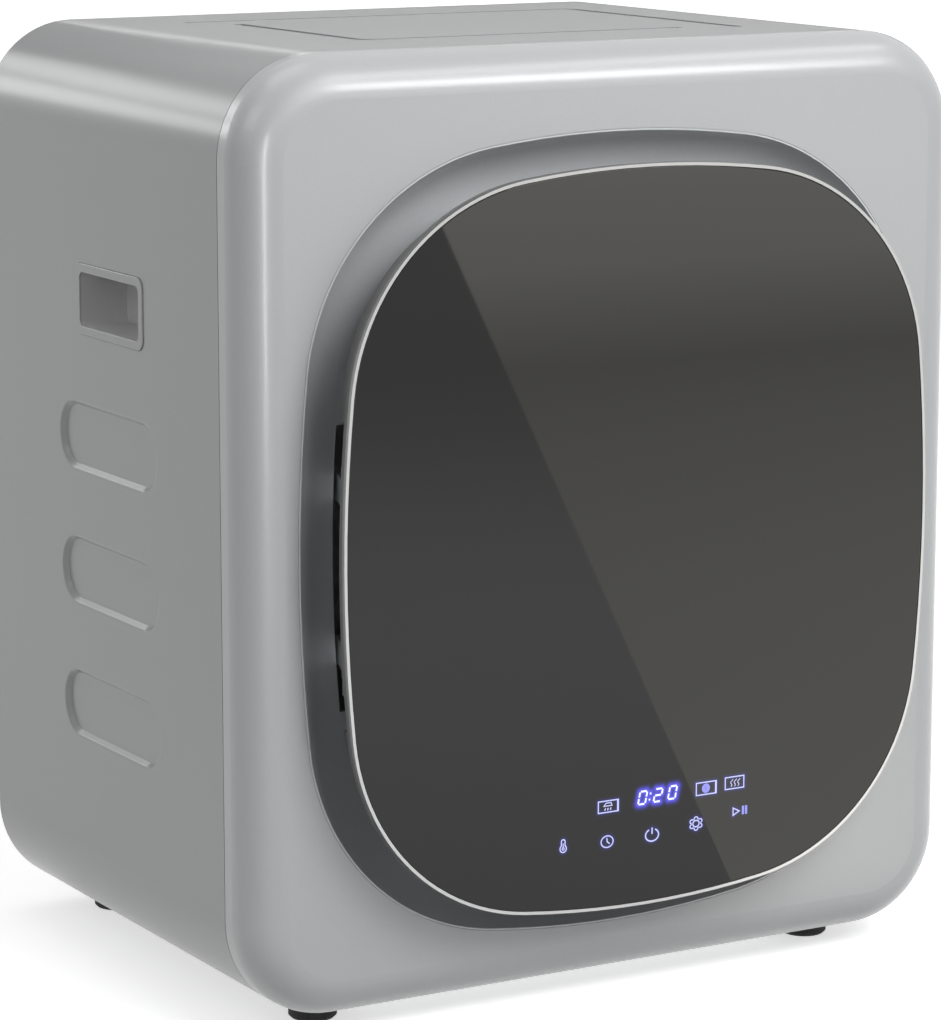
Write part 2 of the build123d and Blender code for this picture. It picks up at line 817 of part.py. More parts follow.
# Lint screen: a slotted cap over the holes of the drum's back plate
lint_front = drum_back_depth - lint_rise
with BuildPart() as lint_screen:
    turned(
        [
            (0, lint_front), (lint_radius - 14, lint_front), (lint_radius, lint_front + 8),
            (lint_radius, drum_back_depth - lint_wall), (lint_radius + 6, drum_back_depth - lint_wall),
            (lint_radius + 6, drum_back_depth), (lint_radius - lint_wall, drum_back_depth),
            (lint_radius - lint_wall, lint_front + 9), (lint_radius - 14.5, lint_front + lint_wall),
            (0, lint_front + lint_wall),
        ]
    )
    with BuildSketch(axis_plane(lint_front)):
        with PolarLocations(58, 24):
            Rectangle(44, 5)
    extrude(amount=-2 * lint_wall, mode=Mode.SUBTRACT)
save(lint_screen.part, "lint_screen")

# Blower wheel: forward curved blades between a back plate and a front ring
wheel_front = housing_front + 2.5
wheel_back = wheel_front + wheel_width
hub_end = fan_belt_depth - belt_gap - 1.1
with BuildSketch() as blade:
    with BuildLine() as curve:
        ThreePointArc((wheel_eye + 3, -6), (wheel_eye + 14, -7), (wheel_radius - 0.8, 4))
    trace(curve.edges(), line_width=1.2)
with BuildPart() as blower_wheel:
    turned(
        [
            (shaft_radius + running, wheel_back - 22), (16, wheel_back - 22),
            (18, wheel_back - 1.5), (wheel_radius, wheel_back - 1.5), (wheel_radius, wheel_back),
            (16, wheel_back), (16, hub_end), (shaft_radius + running, hub_end),
        ]
    )
    turned(
        [
            (wheel_radius - 9, wheel_front), (wheel_radius, wheel_front),
            (wheel_radius, wheel_front + 1.5), (wheel_radius - 9, wheel_front + 1.5),
        ]
    )
    with BuildSketch(axis_plane(wheel_front)):
        with PolarLocations(0, blade_count):
            add(blade.sketch)
    extrude(amount=-(wheel_width - 1))
save(blower_wheel.part, "blower_wheel")

with BuildPart() as fan_pulley:
    pulley(shaft_radius + running, fan_pulley_radius, fan_belt_depth, 1.1, 0.9)
    with BuildSketch(axis_plane(fan_belt_depth - 2)):
        with PolarLocations(26, 6):
            Circle(7)
    extrude(amount=-(belt_width + 4), mode=Mode.SUBTRACT)
save(fan_pulley.part, "fan_pulley")

# Blower housing: a scroll and a chute that leads down to the exhaust collar
collar_drop = collar_height - drum_axis_height
chute_half = collar_radius + 4
scroll_end = volute_start + 4 * volute_step


def blower_outline():
    """Scroll and chute as faces of the open sketch, about the drum's axis."""
    with BuildLine() as scroll:
        CenterArc((0, 0), volute_start, 180, 90)
        CenterArc((0, volute_step), volute_start + volute_step, 270, 90)
        CenterArc((-volute_step, volute_step), volute_start + 2 * volute_step, 0, 90)
        CenterArc((-volute_step, 0), volute_start + 3 * volute_step, 90, 90)
        Line((-scroll_end, 0), (-volute_start, 0))
    make_face(scroll.edges())
    Polygon(
        (-scroll_end, 0), (-scroll_end, -60), (collar_across - chute_half, collar_drop + 88),
        (collar_across - chute_half, collar_drop - chute_half),
        (collar_across + chute_half, collar_drop - chute_half),
        (collar_across + chute_half, collar_drop + 88), (-volute_start, -60), (-volute_start, 0),
        align=None,
    )


with BuildPart() as blower_housing:
    with BuildSketch(axis_plane(housing_front)):
        blower_outline()
    extrude(amount=-housing_depth)
    with BuildSketch(axis_plane(housing_front)):
        blower_outline()
        offset(amount=-housing_wall)
    extrude(amount=-(housing_depth - housing_wall), mode=Mode.SUBTRACT)
    with BuildSketch(axis_plane(housing_front)):
        Circle(20)
        with Locations((collar_across, collar_drop)):
            Circle(collar_radius - collar_wall)
    extrude(amount=-housing_depth, mode=Mode.SUBTRACT)
save(blower_housing.part, "blower_housing")

# Exhaust collar: the pipe stub for the vent hose, clamped on the outside of the rear panel
with BuildPart() as exhaust_collar:
    collar_end = cabinet_depth + collar_proud
    turned(
        [
            (collar_radius - collar_wall, housing_back), (collar_radius, housing_back),
            (collar_radius, rear_depth), (collar_radius + 9, rear_depth),
            (collar_radius + 9, rear_depth + 1.5), (collar_radius, rear_depth + 1.5),
            (collar_radius, collar_end), (collar_radius - collar_wall, collar_end),
        ],
        collar_across, collar_height,
    )
save(exhaust_collar.part, "exhaust_collar")

# Rear panel: a sheet inside the wrap's back edge, with two columns of hooded louvres
with BuildPart() as rear_panel:
    with BuildSketch(facing(rear_depth - sheet, mid_height)):
        body_outline(sheet + fit)
    extrude(amount=-sheet)
    with BuildSketch(facing(rear_depth, mid_height + 152)):
        with GridLocations(*louvre_pitch, 2, louvre_count):
            Rectangle(*louvre_size)
    extrude(amount=-louvre_rise, taper=louvre_slope)
    with BuildSketch(facing(rear_depth - sheet, mid_height + 149)):
        with GridLocations(*louvre_pitch, 2, louvre_count):
            Rectangle(louvre_size[0] - 2 * sheet, louvre_size[1] - 2 * sheet)
    extrude(amount=-louvre_rise, taper=louvre_slope, mode=Mode.SUBTRACT)
    with BuildSketch(facing(rear_depth - sheet)):
        with Locations((collar_across, collar_height)):
            Circle(collar_radius + 1)
        with Locations(gland_place):
            Circle(gland_radius + touch)
        with Locations(*screw_places):
            Circle(panel_screw_hole)
    extrude(amount=-sheet, mode=Mode.SUBTRACT)
save(rear_panel.part, "rear_panel")

with BuildPart() as panel_screws:
    with BuildSketch(facing(rear_depth)):
        with Locations(*screw_places):
            Circle(panel_screw_head)
    extrude(amount=-panel_screw_rise)
    with BuildSketch(facing(rear_depth - panel_screw_length)):
        with Locations(*screw_places):
            Circle(panel_screw_radius)
    extrude(amount=-panel_screw_length)
    with BuildSketch(facing(rear_depth + panel_screw_rise / 2)):
        with Locations(*screw_places):
            Rectangle(*driver_slot)
            Rectangle(*reversed(driver_slot))
    extrude(amount=-panel_screw_rise, mode=Mode.SUBTRACT)
save(panel_screws.part, "panel_screws")

with BuildPart() as cord_gland:
    turned(
        [
            (cord_hole, rear_depth - 5), (gland_radius, rear_depth - 5),
            (gland_radius, rear_depth), (gland_radius + 4, rear_depth),
            (gland_radius + 3, rear_depth + 4), (cord_hole, rear_depth + 4),
        ],
        *gland_place,
    )
save(cord_gland.part, "cord_gland")

# Rear bearing of the drum, on the inner face of the rear panel
bracket_back = rear_depth - sheet
with BuildPart() as bearing_bracket:
    with BuildSketch(axis_plane(bracket_back - 2)):
        RectangleRounded(bracket_size[0] + 20, bracket_size[1] + 8, 6)
    extrude(amount=-2)
    with BuildSketch(axis_plane(bracket_depth)):
        with GridLocations(0, bracket_size[1], 1, 2):
            Rectangle(bracket_size[0], 2)
        Circle(bearing_radius + 6)
    extrude(amount=-(bracket_back - bracket_depth))
    with BuildSketch(axis_plane(bracket_depth)):
        Circle(bearing_radius + touch)
    extrude(amount=-(bracket_back - bracket_depth), mode=Mode.SUBTRACT)
save(bearing_bracket.part, "bearing_bracket")

with BuildPart() as drum_bearing:
    turned(
        [
            (shaft_radius + running, bracket_depth + 0.5), (bearing_radius, bracket_depth + 0.5),
            (bearing_radius, bracket_back), (shaft_radius + running, bracket_back),
        ]
    )
save(drum_bearing.part, "drum_bearing")

# Motor with a shaft out of both ends, and the cradle that also carries the belt tensioner
motor_front = rear_bulkhead_depth - 16 - motor_length
motor_back = motor_front + motor_length
shaft_bore = rotor_shaft_radius + running
with BuildPart() as motor_body:
    turned(
        [
            (shaft_bore, motor_front - 6), (13, motor_front - 6), (13, motor_front),
            (motor_radius - 7, motor_front), (motor_radius - 4, motor_front + 12),
            (motor_radius, motor_front + 12), (motor_radius, motor_back - 12),
            (motor_radius - 4, motor_back - 12), (motor_radius - 7, motor_back),
            (shaft_bore, motor_back),
        ],
        motor_across, motor_height,
    )
save(motor_body.part, "motor_body")

with BuildPart() as motor_shaft:
    turned(
        [
            (0, drum_belt_depth - 4), (rotor_shaft_radius, drum_belt_depth - 4),
            (rotor_shaft_radius, bracket_depth + 1), (0, bracket_depth + 1),
        ],
        motor_across, motor_height,
    )
save(motor_shaft.part, "motor_shaft")

with BuildPart() as motor_pulleys:
    pulley(shaft_bore, drum_pulley_radius, drum_belt_depth, 1.1, 1.1, motor_across, motor_height)
    pulley(shaft_bore, fan_drive_radius, fan_belt_depth, 1.1, 0.9, motor_across, motor_height)
save(motor_pulleys.part, "motor_pulleys")

cradle_left, cradle_right = idler_pivot[0] - 15, pan_half - 6
cradle_front, cradle_back = drum_belt_depth - 7, motor_back + 2
tab_depth = idler_arm_depth + 4
with BuildPart() as motor_cradle:
    with BuildSketch(Plane.XY.offset(pan_floor)):
        with Locations(
            ((cradle_left + cradle_right) / 2, face_y + (cradle_front + cradle_back) / 2)
        ):
            Rectangle(cradle_right - cradle_left, cradle_back - cradle_front)
    extrude(amount=2)
    for depth in (motor_front + 20, motor_back - 23):
        with BuildSketch(facing(depth)):
            with Locations((motor_across - 6, pan_floor)):
                Rectangle(64, 42, align=(Align.CENTER, Align.MIN))
            with Locations((motor_across, motor_height)):
                Circle(motor_radius + touch, mode=Mode.SUBTRACT)
        extrude(amount=-3)
    with BuildSketch(facing(tab_depth)):
        with Locations((idler_pivot[0], pan_floor)):
            Rectangle(24, idler_pivot[1] + 10 - pan_floor, align=(Align.CENTER, Align.MIN))
    extrude(amount=-3)
    with BuildSketch(facing(idler_arm_depth - 4)):
        with Locations(idler_pivot):
            Circle(stud_radius)
    extrude(amount=-8)
    with BuildSketch(facing(idler_arm_depth - 4)):
        with Locations(idler_pivot):
            Circle(stud_head)
    extrude(amount=-3.7)
save(motor_cradle.part, "motor_cradle")

# Belt tensioner: an arm that swings on the cradle's stud, its wheel, and a coil spring
arm_x, arm_z = idler_place[0] - idler_pivot[0], idler_place[1] - idler_pivot[1]
arm_length = sqrt(arm_x**2 + arm_z**2)
arm_angle = degrees(atan2(arm_z, arm_x))
with BuildPart() as idler_arm:
    with BuildSketch(facing(idler_arm_depth)):
        with Locations(
            Location(
                (idler_pivot[0] + arm_x / 2, idler_pivot[1] + arm_z / 2), arm_angle
            )
        ):
            SlotCenterToCenter(arm_length, arm_width)
        with Locations(idler_pivot):
            Circle(stud_radius + running, mode=Mode.SUBTRACT)
    extrude(amount=-3)
    with BuildSketch(facing(drum_belt_depth - 5)):
        with Locations(idler_place):
            Circle(stud_radius)
    extrude(amount=-(idler_arm_depth - drum_belt_depth + 5))
    with BuildSketch(facing(drum_belt_depth - 5)):
        with Locations(idler_place):
            Circle(stud_head)
    extrude(amount=-3.2)
save(idler_arm.part, "idler_arm")

with BuildPart() as idler_pulley:
    turned(
        [
            (stud_radius + running, drum_belt_depth - 1.5), (idler_radius, drum_belt_depth - 1.5),
            (idler_radius, drum_belt_depth + belt_width + 1.5),
            (stud_radius + running, drum_belt_depth + belt_width + 1.5),
        ],
        *idler_place,
    )
save(idler_pulley.part, "idler_pulley")


spring_wire = 0.65
spring_radius = stud_head + spring_wire + 0.75
spring_depth = idler_arm_depth - 2.0
with BuildPart() as idler_spring:
    with Locations(*[
        (idler_pivot[0], face_y + spring_depth + turn * 2 * spring_wire, idler_pivot[1])
        for turn in (-0.9, 0.0, 0.9)
    ]):
        Torus(spring_radius, spring_wire, rotation=(90, 0, 0))
    leg_across = idler_pivot[0] - arm_width / 2 - 2
    with BuildLine() as leg:
        FilletPolyline(
            (idler_pivot[0] - spring_radius, face_y + spring_depth, idler_pivot[1]),
            (leg_across, face_y + spring_depth, idler_pivot[1]),
            (leg_across, face_y + tab_depth, idler_pivot[1]),
            radius=1.2,
        )
    with BuildSketch(Plane(origin=leg.line @ 0, z_dir=leg.line % 0)):
        Circle(spring_wire)
    sweep(path=leg.line)
save(idler_spring.part, "idler_spring")

# Belts
drum_wheels = [
    (0, drum_axis_height, drum_radius, 1),
    (*idler_place, idler_radius, -1),
    (motor_across, motor_height, drum_pulley_radius, 1),
]
fan_wheels = [
    (0, drum_axis_height, fan_pulley_radius, 1),
    (motor_across, motor_height, fan_drive_radius, 1),
]
for wheels, depth, label in (
    (drum_wheels, drum_belt_depth, "drum_belt"),
    (fan_wheels, fan_belt_depth, "fan_belt"),
):
    with BuildPart() as belt:
        with BuildSketch(facing(depth)):
            back = belt_gap + belt_thickness
            make_face(belt_loop(wheels, back, belt_gap).edges())
            make_face(belt_loop(wheels, belt_gap, back).edges(), mode=Mode.SUBTRACT)
        extrude(amount=-belt_width)
    save(belt.part, label)

# Run capacitor, thermostat on the blower's chute, control box behind the front bulkhead
with BuildPart() as run_capacitor:
    with BuildSketch(Plane.XY.offset(pan_floor)):
        with Locations((capacitor_across, face_y + capacitor_back)):
            Circle(capacitor_radius)
    extrude(amount=capacitor_height)
    with BuildSketch(Plane.XY.offset(pan_floor + capacitor_height)):
        with Locations((capacitor_across, face_y + capacitor_back)):
            with GridLocations(capacitor_radius * 0.7, 0, 2, 1):
                Rectangle(1, 6)
    extrude(amount=tab_length)
save(run_capacitor.part, "run_capacitor")

with BuildPart() as heater_thermostat:
    with BuildSketch(facing(housing_back, collar_height + 110, collar_across)):
        SlotOverall(36, 14)
    extrude(amount=-1.2)
    with BuildSketch(facing(housing_back, collar_height + 110, collar_across)):
        Circle(9)
    extrude(amount=-9)
    with BuildSketch(facing(housing_back + 9, collar_height + 110, collar_across)):
        with GridLocations(9, 0, 2, 1):
            Rectangle(1, 5)
    extrude(amount=-6)
save(heater_thermostat.part, "heater_thermostat")

with BuildPart() as control_box:
    with BuildSketch(facing(bulkhead_depth + sheet, top_height - 98, 49 - width / 2)):
        RectangleRounded(60, 110, 4)
    extrude(amount=-40)
    with BuildSketch(facing(bulkhead_depth + sheet + 40, top_height - 98, 49 - width / 2)):
        RectangleRounded(56, 106, 3)
        with GridLocations(0, 30, 1, 3):
            Rectangle(34, 14, mode=Mode.SUBTRACT)
    extrude(amount=-4)
save(control_box.part, "control_box")

# Door: a flat glass in a slim rim, on a frame with a slot for the hinge along its left edge
glass_front = -door_proud
frame_front = glass_front + glass_thickness
frame_back = frame_front + frame_edge
inner_front = -3.0
plateau_depth = 14.0
plateau_inset = 34.0
bowl_radius = mouth_radius - bowl_margin
bowl_depth = 56.0
notch_edge = pin_across + 25
notch_line = hinge_height - door_height


def door_section(inset, grow):
    """Door outline less the slot for the hinge, which is `grow` larger, in the open sketch."""
    door_face(inset)
    with Locations((notch_edge + grow, notch_line)):
        Rectangle(
            100, 2 * (notch_half + grow),
            align=(Align.MAX, Align.CENTER), mode=Mode.SUBTRACT,
        )


with BuildPart() as door_glass:
    with BuildSketch(facing(glass_front, door_height)):
        door_face(rim_width + touch)
    extrude(amount=-glass_thickness)
    fillet(door_glass.faces().sort_by(Axis.Y)[0].edges(), 0.6)
save(door_glass.part, "door_glass")

with BuildPart() as door_rim:
    with BuildSketch(facing(glass_front, door_height)):
        door_face(0)
        make_face(door_line(rim_width).edges(), mode=Mode.SUBTRACT)
    extrude(amount=-glass_thickness)
save(door_rim.part, "door_rim")

with BuildPart() as door_frame:
    with BuildSketch(facing(frame_front, door_height)):
        door_face(0)
    extrude(amount=-frame_edge)
    with BuildSketch(facing(frame_back, door_height)):
        door_section(frame_inset, 0)
    extrude(amount=-(inner_front - frame_back))
    with BuildSketch(facing(frame_back, door_height)):
        door_section(frame_inset + frame_wall, frame_wall)
    extrude(amount=-(inner_front - frame_back), mode=Mode.SUBTRACT)
    with BuildSketch(facing(frame_front, touch_place[1], touch_place[0])):
        Rectangle(*touch_window)
    extrude(amount=-frame_edge, mode=Mode.SUBTRACT)
    with BuildSketch(axis_plane(frame_front)):
        Circle(bowl_radius - 20)
    extrude(amount=-frame_edge, mode=Mode.SUBTRACT)
save(door_frame.part, "door_frame")

with BuildPart() as touch_board:
    with BuildSketch(facing(frame_back, touch_place[1], touch_place[0])):
        Rectangle(touch_window[0] + 12, touch_window[1] + 10)
    extrude(amount=-1.6)
    with BuildSketch(facing(frame_back + 1.6, touch_place[1], touch_place[0])):
        Rectangle(40, 12)
        with Locations((-60, 0), (60, 0)):
            Rectangle(12, 12)
    extrude(amount=-4)
save(touch_board.part, "touch_board")

with BuildPart() as door_inner:
    with BuildSketch(facing(inner_front, door_height)):
        door_section(frame_inset + 2, 0)
    extrude(amount=inner_front)
    with BuildSketch(facing(0, door_height)):
        door_section(plateau_inset, 0)
    extrude(amount=-plateau_depth)
    with BuildSketch(facing(inner_front, door_height)):
        door_section(plateau_inset + 3, 3)
    extrude(amount=-plateau_depth, mode=Mode.SUBTRACT)
    with BuildSketch(axis_plane(0)):
        Circle(bowl_radius + fit)
    extrude(amount=-2 * plateau_depth, mode=Mode.SUBTRACT)
save(door_inner.part, "door_inner")

# Bowl of the door's window, held behind the inner plate, and the seal round it
with BuildPart() as door_bowl:
    seat = plateau_depth - 3
    turned(
        [
            (bowl_radius - 3, seat - 3), (bowl_radius + 12, seat - 3), (bowl_radius + 12, seat),
            (bowl_radius, seat), (bowl_radius, bowl_depth - 16), (bowl_radius - 6, bowl_depth - 4),
            (bowl_radius - 18, bowl_depth), (0, bowl_depth), (0, bowl_depth - 3),
            (bowl_radius - 19, bowl_depth - 3), (bowl_radius - 9, bowl_depth - 6),
            (bowl_radius - 3, bowl_depth - 16),
        ]
    )
save(door_bowl.part, "door_bowl")

with BuildPart() as door_seal:
    turned(
        [
            (mouth_radius + 4, plateau_depth), (mouth_radius + 14, plateau_depth),
            (mouth_radius + 12, dish_depth - 0.4), (mouth_radius + 6, dish_depth - 0.4),
        ]
    )
save(door_seal.part, "door_seal")

with BuildPart() as latch_keeper:
    with BuildSketch(facing(plateau_depth, hinge_height, catch_across)):
        RectangleRounded(11, 30, 2)
    extrude(amount=-(dish_depth - plateau_depth - 0.5))
save(latch_keeper.part, "latch_keeper")

with BuildPart() as latch_magnet:
    with BuildSketch(facing(dish_depth, hinge_height, catch_across)):
        Rectangle(magnet_size[0] - 2 * touch, magnet_size[1] - 2 * touch)
    extrude(amount=-10)
    with BuildSketch(facing(dish_depth + panel_wall, hinge_height, catch_across)):
        RectangleRounded(22, 42, 3)
    extrude(amount=-3)
save(latch_magnet.part, "latch_magnet")

# Hinge: a steel bracket with two arms through the pocket, two pins, and the door's knuckles
arm_line = [
    (pin_across + 41, face_y + dish_depth + panel_wall + arm_thick / 2),
    (pin_across + 15, face_y + dish_depth + panel_wall + arm_thick / 2),
    (pin_across + 15, face_y + dish_depth - 2),
    (pin_across, face_y - pin_proud),
]
arm_heights = [hinge_height - hinge_pitch / 2, hinge_height + hinge_pitch / 2]
pin_spot = (pin_across, face_y - pin_proud)
with BuildPart() as hinge_bracket:
    for height in arm_heights:
        with BuildSketch(Plane.XY.offset(height - arm_tall / 2)):
            with BuildLine() as bend:
                FilletPolyline(*arm_line, radius=6)
            trace(bend.edges(), line_width=arm_thick)
            with Locations(pin_spot):
                Circle(barrel_radius + 0.5)
                Circle(pin_radius + running, mode=Mode.SUBTRACT)
        extrude(amount=arm_tall)
    with BuildSketch(facing(dish_depth + panel_wall, hinge_height)):
        with Locations((pin_across + 37, 0)):
            RectangleRounded(24, 2 * pocket_reach - 10, 4)
            with GridLocations(0, 150, 1, 2):
                Circle(3, mode=Mode.SUBTRACT)
    extrude(amount=-3)
save(hinge_bracket.part, "hinge_bracket")

knuckle_tall = 12.0
knuckle_start = arm_tall / 2 + fit
with BuildPart() as hinge_knuckles:
    for height in arm_heights:
        for low in (height + knuckle_start, height - knuckle_start - knuckle_tall):
            with BuildSketch(Plane.XY.offset(low)):
                with Locations(pin_spot):
                    Circle(barrel_radius)
                    Rectangle(8, -pin_proud - frame_back, align=(Align.CENTER, Align.MAX))
                    Circle(pin_radius + running, mode=Mode.SUBTRACT)
            extrude(amount=knuckle_tall)
    with BuildSketch(facing(frame_back, hinge_height)):
        with Locations((pin_across + 7, 0)):
            Rectangle(26, 2 * (hinge_pitch / 2 + knuckle_start + knuckle_tall))
    extrude(amount=-2.5)
save(hinge_knuckles.part, "hinge_knuckles")

with BuildPart() as hinge_pins:
    pin_end = knuckle_start + knuckle_tall + fit
    for height in arm_heights:
        with BuildSketch(Plane.XY.offset(height - pin_end)):
            with Locations(pin_spot):
                Circle(pin_radius)
        extrude(amount=2 * pin_end)
        with BuildSketch(Plane.XY.offset(height + pin_end)):
            with Locations(pin_spot):
                Circle(pin_radius + 1.8)
        extrude(amount=2)
save(hinge_pins.part, "hinge_pins")

# Door switch behind the recess floor, and the plunger that the door presses
switch_place = (catch_across - 8, hinge_height + switch_rise)
with BuildPart() as door_switch:
    with BuildSketch(facing(dish_depth + panel_wall, switch_place[1], switch_place[0])):
        RectangleRounded(18, 32, 2)
        Circle(plunger_radius, mode=Mode.SUBTRACT)
    extrude(amount=-20)
    with BuildSketch(facing(dish_depth + panel_wall + 20, switch_place[1], switch_place[0])):
        RectangleRounded(18, 32, 2)
    extrude(amount=-3)
save(door_switch.part, "door_switch")

with BuildPart() as switch_plunger:
    with BuildSketch(facing(plateau_depth + fit, switch_place[1], switch_place[0])):
        Circle(plunger_radius - fit)
    extrude(amount=-26)
    fillet(switch_plunger.faces().sort_by(Axis.Y)[0].edges(), 1.2)
save(switch_plunger.part, "switch_plunger")
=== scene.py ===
import json
import math
import bmesh
import bpy
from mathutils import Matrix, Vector


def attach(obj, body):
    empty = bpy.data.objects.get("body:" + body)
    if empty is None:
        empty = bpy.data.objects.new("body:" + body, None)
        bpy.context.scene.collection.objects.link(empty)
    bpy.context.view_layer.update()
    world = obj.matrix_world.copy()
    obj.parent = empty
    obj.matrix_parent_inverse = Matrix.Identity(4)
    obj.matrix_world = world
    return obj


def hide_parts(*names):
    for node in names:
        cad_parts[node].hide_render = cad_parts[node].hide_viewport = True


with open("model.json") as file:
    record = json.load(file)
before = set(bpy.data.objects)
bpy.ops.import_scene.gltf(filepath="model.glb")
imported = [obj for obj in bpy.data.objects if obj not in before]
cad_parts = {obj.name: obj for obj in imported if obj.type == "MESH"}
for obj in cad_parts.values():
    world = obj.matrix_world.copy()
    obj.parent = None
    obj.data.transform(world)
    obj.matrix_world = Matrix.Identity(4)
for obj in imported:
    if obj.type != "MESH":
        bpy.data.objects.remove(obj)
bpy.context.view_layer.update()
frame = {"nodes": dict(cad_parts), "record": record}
nodes = frame["nodes"]
scene = bpy.context.scene

# Sizes that follow the cabinet and its door, in metres
MM = 0.001
FACE_Y = -0.209
GLASS_FRONT = FACE_Y - 0.038
GLASS_THICK = 0.0034
DOOR_HALF_WIDTH = 0.241
DOOR_HALF_HEIGHT = 0.265
DOOR_CORNER = 0.1574
DOOR_BULGE = 0.0052
DOOR_HEIGHT = 0.343
RIM_INSET = 0.0023
FOOT_HEIGHT = 0.016
OUTLINE_STEP = 0.004


# Shader node groups

def new_group(name, inputs, outputs):
    group = bpy.data.node_groups.new(name, "ShaderNodeTree")
    for label, kind, value in inputs:
        socket = group.interface.new_socket(name=label, in_out="INPUT", socket_type=kind)
        socket.default_value = value
    for label, kind in outputs:
        group.interface.new_socket(name=label, in_out="OUTPUT", socket_type=kind)
    entry = group.nodes.new("NodeGroupInput")
    leave = group.nodes.new("NodeGroupOutput")
    return group, entry.outputs, leave.inputs


def tool(tree, kind, **settings):
    node = tree.nodes.new("ShaderNode" + kind)
    for name, value in settings.items():
        setattr(node, name, value)
    return node


def arithmetic(tree, operation, first, second):
    node = tool(tree, "Math", operation=operation)
    for socket, value in zip(node.inputs, (first, second)):
        if isinstance(value, (int, float)):
            socket.default_value = value
        else:
            tree.links.new(value, socket)
    return node.outputs[0]


def scaled(tree, colour, factor):
    """A fixed colour, or one from a socket, times a value."""
    node = tool(tree, "VectorMath", operation="SCALE")
    if isinstance(colour, tuple):
        node.inputs[0].default_value = colour
    else:
        tree.links.new(colour, node.inputs[0])
    tree.links.new(factor, node.inputs["Scale"])
    return node.outputs[0]


def map_range(tree, value, start, end, low, high, **settings):
    """A value, taken from the range of start and end to the range of low and high."""
    node = tool(tree, "MapRange", **settings)
    for label, number in (("From Min", start), ("From Max", end), ("To Min", low), ("To Max", high)):
        node.inputs[label].default_value = number
    tree.links.new(value, node.inputs["Value"])
    return node.outputs[0]


def use_group(tree, group, given):
    """A node of a shared group, with its named sockets set."""
    node = tree.nodes.new("ShaderNodeGroup")
    node.node_tree = group
    for label, value in given.items():
        node.inputs[label].default_value = value
    return node


FLOAT, COLOUR, VECTOR = "NodeSocketFloat", "NodeSocketColor", "NodeSocketVector"
CLOUD_DETAIL, GRAIN_DETAIL = 4, 3


def make_surface_group():
    """Speckle, broad cloudiness and fine grain of a paint, moulding or sheet."""
    group, given, out = new_group(
        "surface_grain",
        [
            ("Colour", COLOUR, (0.5, 0.5, 0.5, 1)), ("Roughness", FLOAT, 0.4),
            ("Speckle Scale", FLOAT, 900.0), ("Speckle", FLOAT, 0.04),
            ("Cloud Scale", FLOAT, 5.0), ("Cloud", FLOAT, 0.04),
            ("Grain Scale", FLOAT, 800.0), ("Stretch", VECTOR, (1, 1, 1)),
        ],
        [("Colour", COLOUR), ("Roughness", FLOAT), ("Height", FLOAT)],
    )
    place = tool(group, "TexCoord").outputs["Object"]
    stretch = tool(group, "VectorMath", operation="MULTIPLY")
    group.links.new(place, stretch.inputs[0])
    group.links.new(given["Stretch"], stretch.inputs[1])
    speckle = tool(group, "TexVoronoi")
    group.links.new(stretch.outputs[0], speckle.inputs["Vector"])
    group.links.new(given["Speckle Scale"], speckle.inputs["Scale"])
    cell = tool(group, "SeparateColor")
    group.links.new(speckle.outputs["Color"], cell.inputs[0])
    cloud = tool(group, "TexNoise")
    cloud.inputs["Detail"].default_value = CLOUD_DETAIL
    group.links.new(place, cloud.inputs["Vector"])
    group.links.new(given["Cloud Scale"], cloud.inputs["Scale"])
    grain = tool(group, "TexNoise")
    grain.inputs["Detail"].default_value = GRAIN_DETAIL
    group.links.new(stretch.outputs[0], grain.inputs["Vector"])
    group.links.new(given["Grain Scale"], grain.inputs["Scale"])
    flecks, haze = (
        arithmetic(group, "MULTIPLY", arithmetic(group, "SUBTRACT", pattern, 0.5), given[label])
        for pattern, label in ((cell.outputs[0], "Speckle"), (cloud.outputs[0], "Cloud"))
    )
    change = arithmetic(group, "ADD", flecks, haze)
    shade = arithmetic(group, "ADD", 1.0, change)
    group.links.new(scaled(group, given["Colour"], shade), out["Colour"])
    group.links.new(arithmetic(group, "ADD", given["Roughness"], change), out["Roughness"])
    group.links.new(grain.outputs[0], out["Height"])
    return group


# Felt: how far the fibres wander, and what shade and roughness they have between and on top
TWIST_SCALE, TWIST = 60, 0.02
FELT_SHADE, FELT_SHADE_RISE = 0.8, 0.6
FELT_ROUGHNESS, FELT_ROUGHNESS_RISE = 0.85, 0.2


def make_fibre_group():
    """Matted short fibres of a felt."""
    group, given, out = new_group(
        "felt_fibres",
        [("Colour", COLOUR, (0.6, 0.58, 0.52, 1)), ("Fibre Scale", FLOAT, 420.0)],
        [("Colour", COLOUR), ("Roughness", FLOAT), ("Height", FLOAT)],
    )
    place = tool(group, "TexCoord").outputs["Object"]
    twist = tool(group, "TexNoise")
    twist.inputs["Scale"].default_value = TWIST_SCALE
    group.links.new(place, twist.inputs["Vector"])
    bend = tool(group, "VectorMath", operation="MULTIPLY_ADD")
    group.links.new(twist.outputs["Color"], bend.inputs[0])
    bend.inputs[1].default_value = (TWIST, TWIST, TWIST)
    group.links.new(place, bend.inputs[2])
    fibre = tool(group, "TexVoronoi", feature="DISTANCE_TO_EDGE")
    group.links.new(bend.outputs[0], fibre.inputs["Vector"])
    group.links.new(given["Fibre Scale"], fibre.inputs["Scale"])
    lighter = arithmetic(group, "MULTIPLY", fibre.outputs[0], FELT_SHADE_RISE)
    shade = arithmetic(group, "ADD", FELT_SHADE, lighter)
    group.links.new(scaled(group, given["Colour"], shade), out["Colour"])
    rougher = arithmetic(group, "MULTIPLY", fibre.outputs[0], FELT_ROUGHNESS_RISE)
    group.links.new(arithmetic(group, "ADD", FELT_ROUGHNESS, rougher), out["Roughness"])
    group.links.new(fibre.outputs[0], out["Height"])
    return group


surface_grain = make_surface_group()
felt_fibres = make_fibre_group()


# Materials

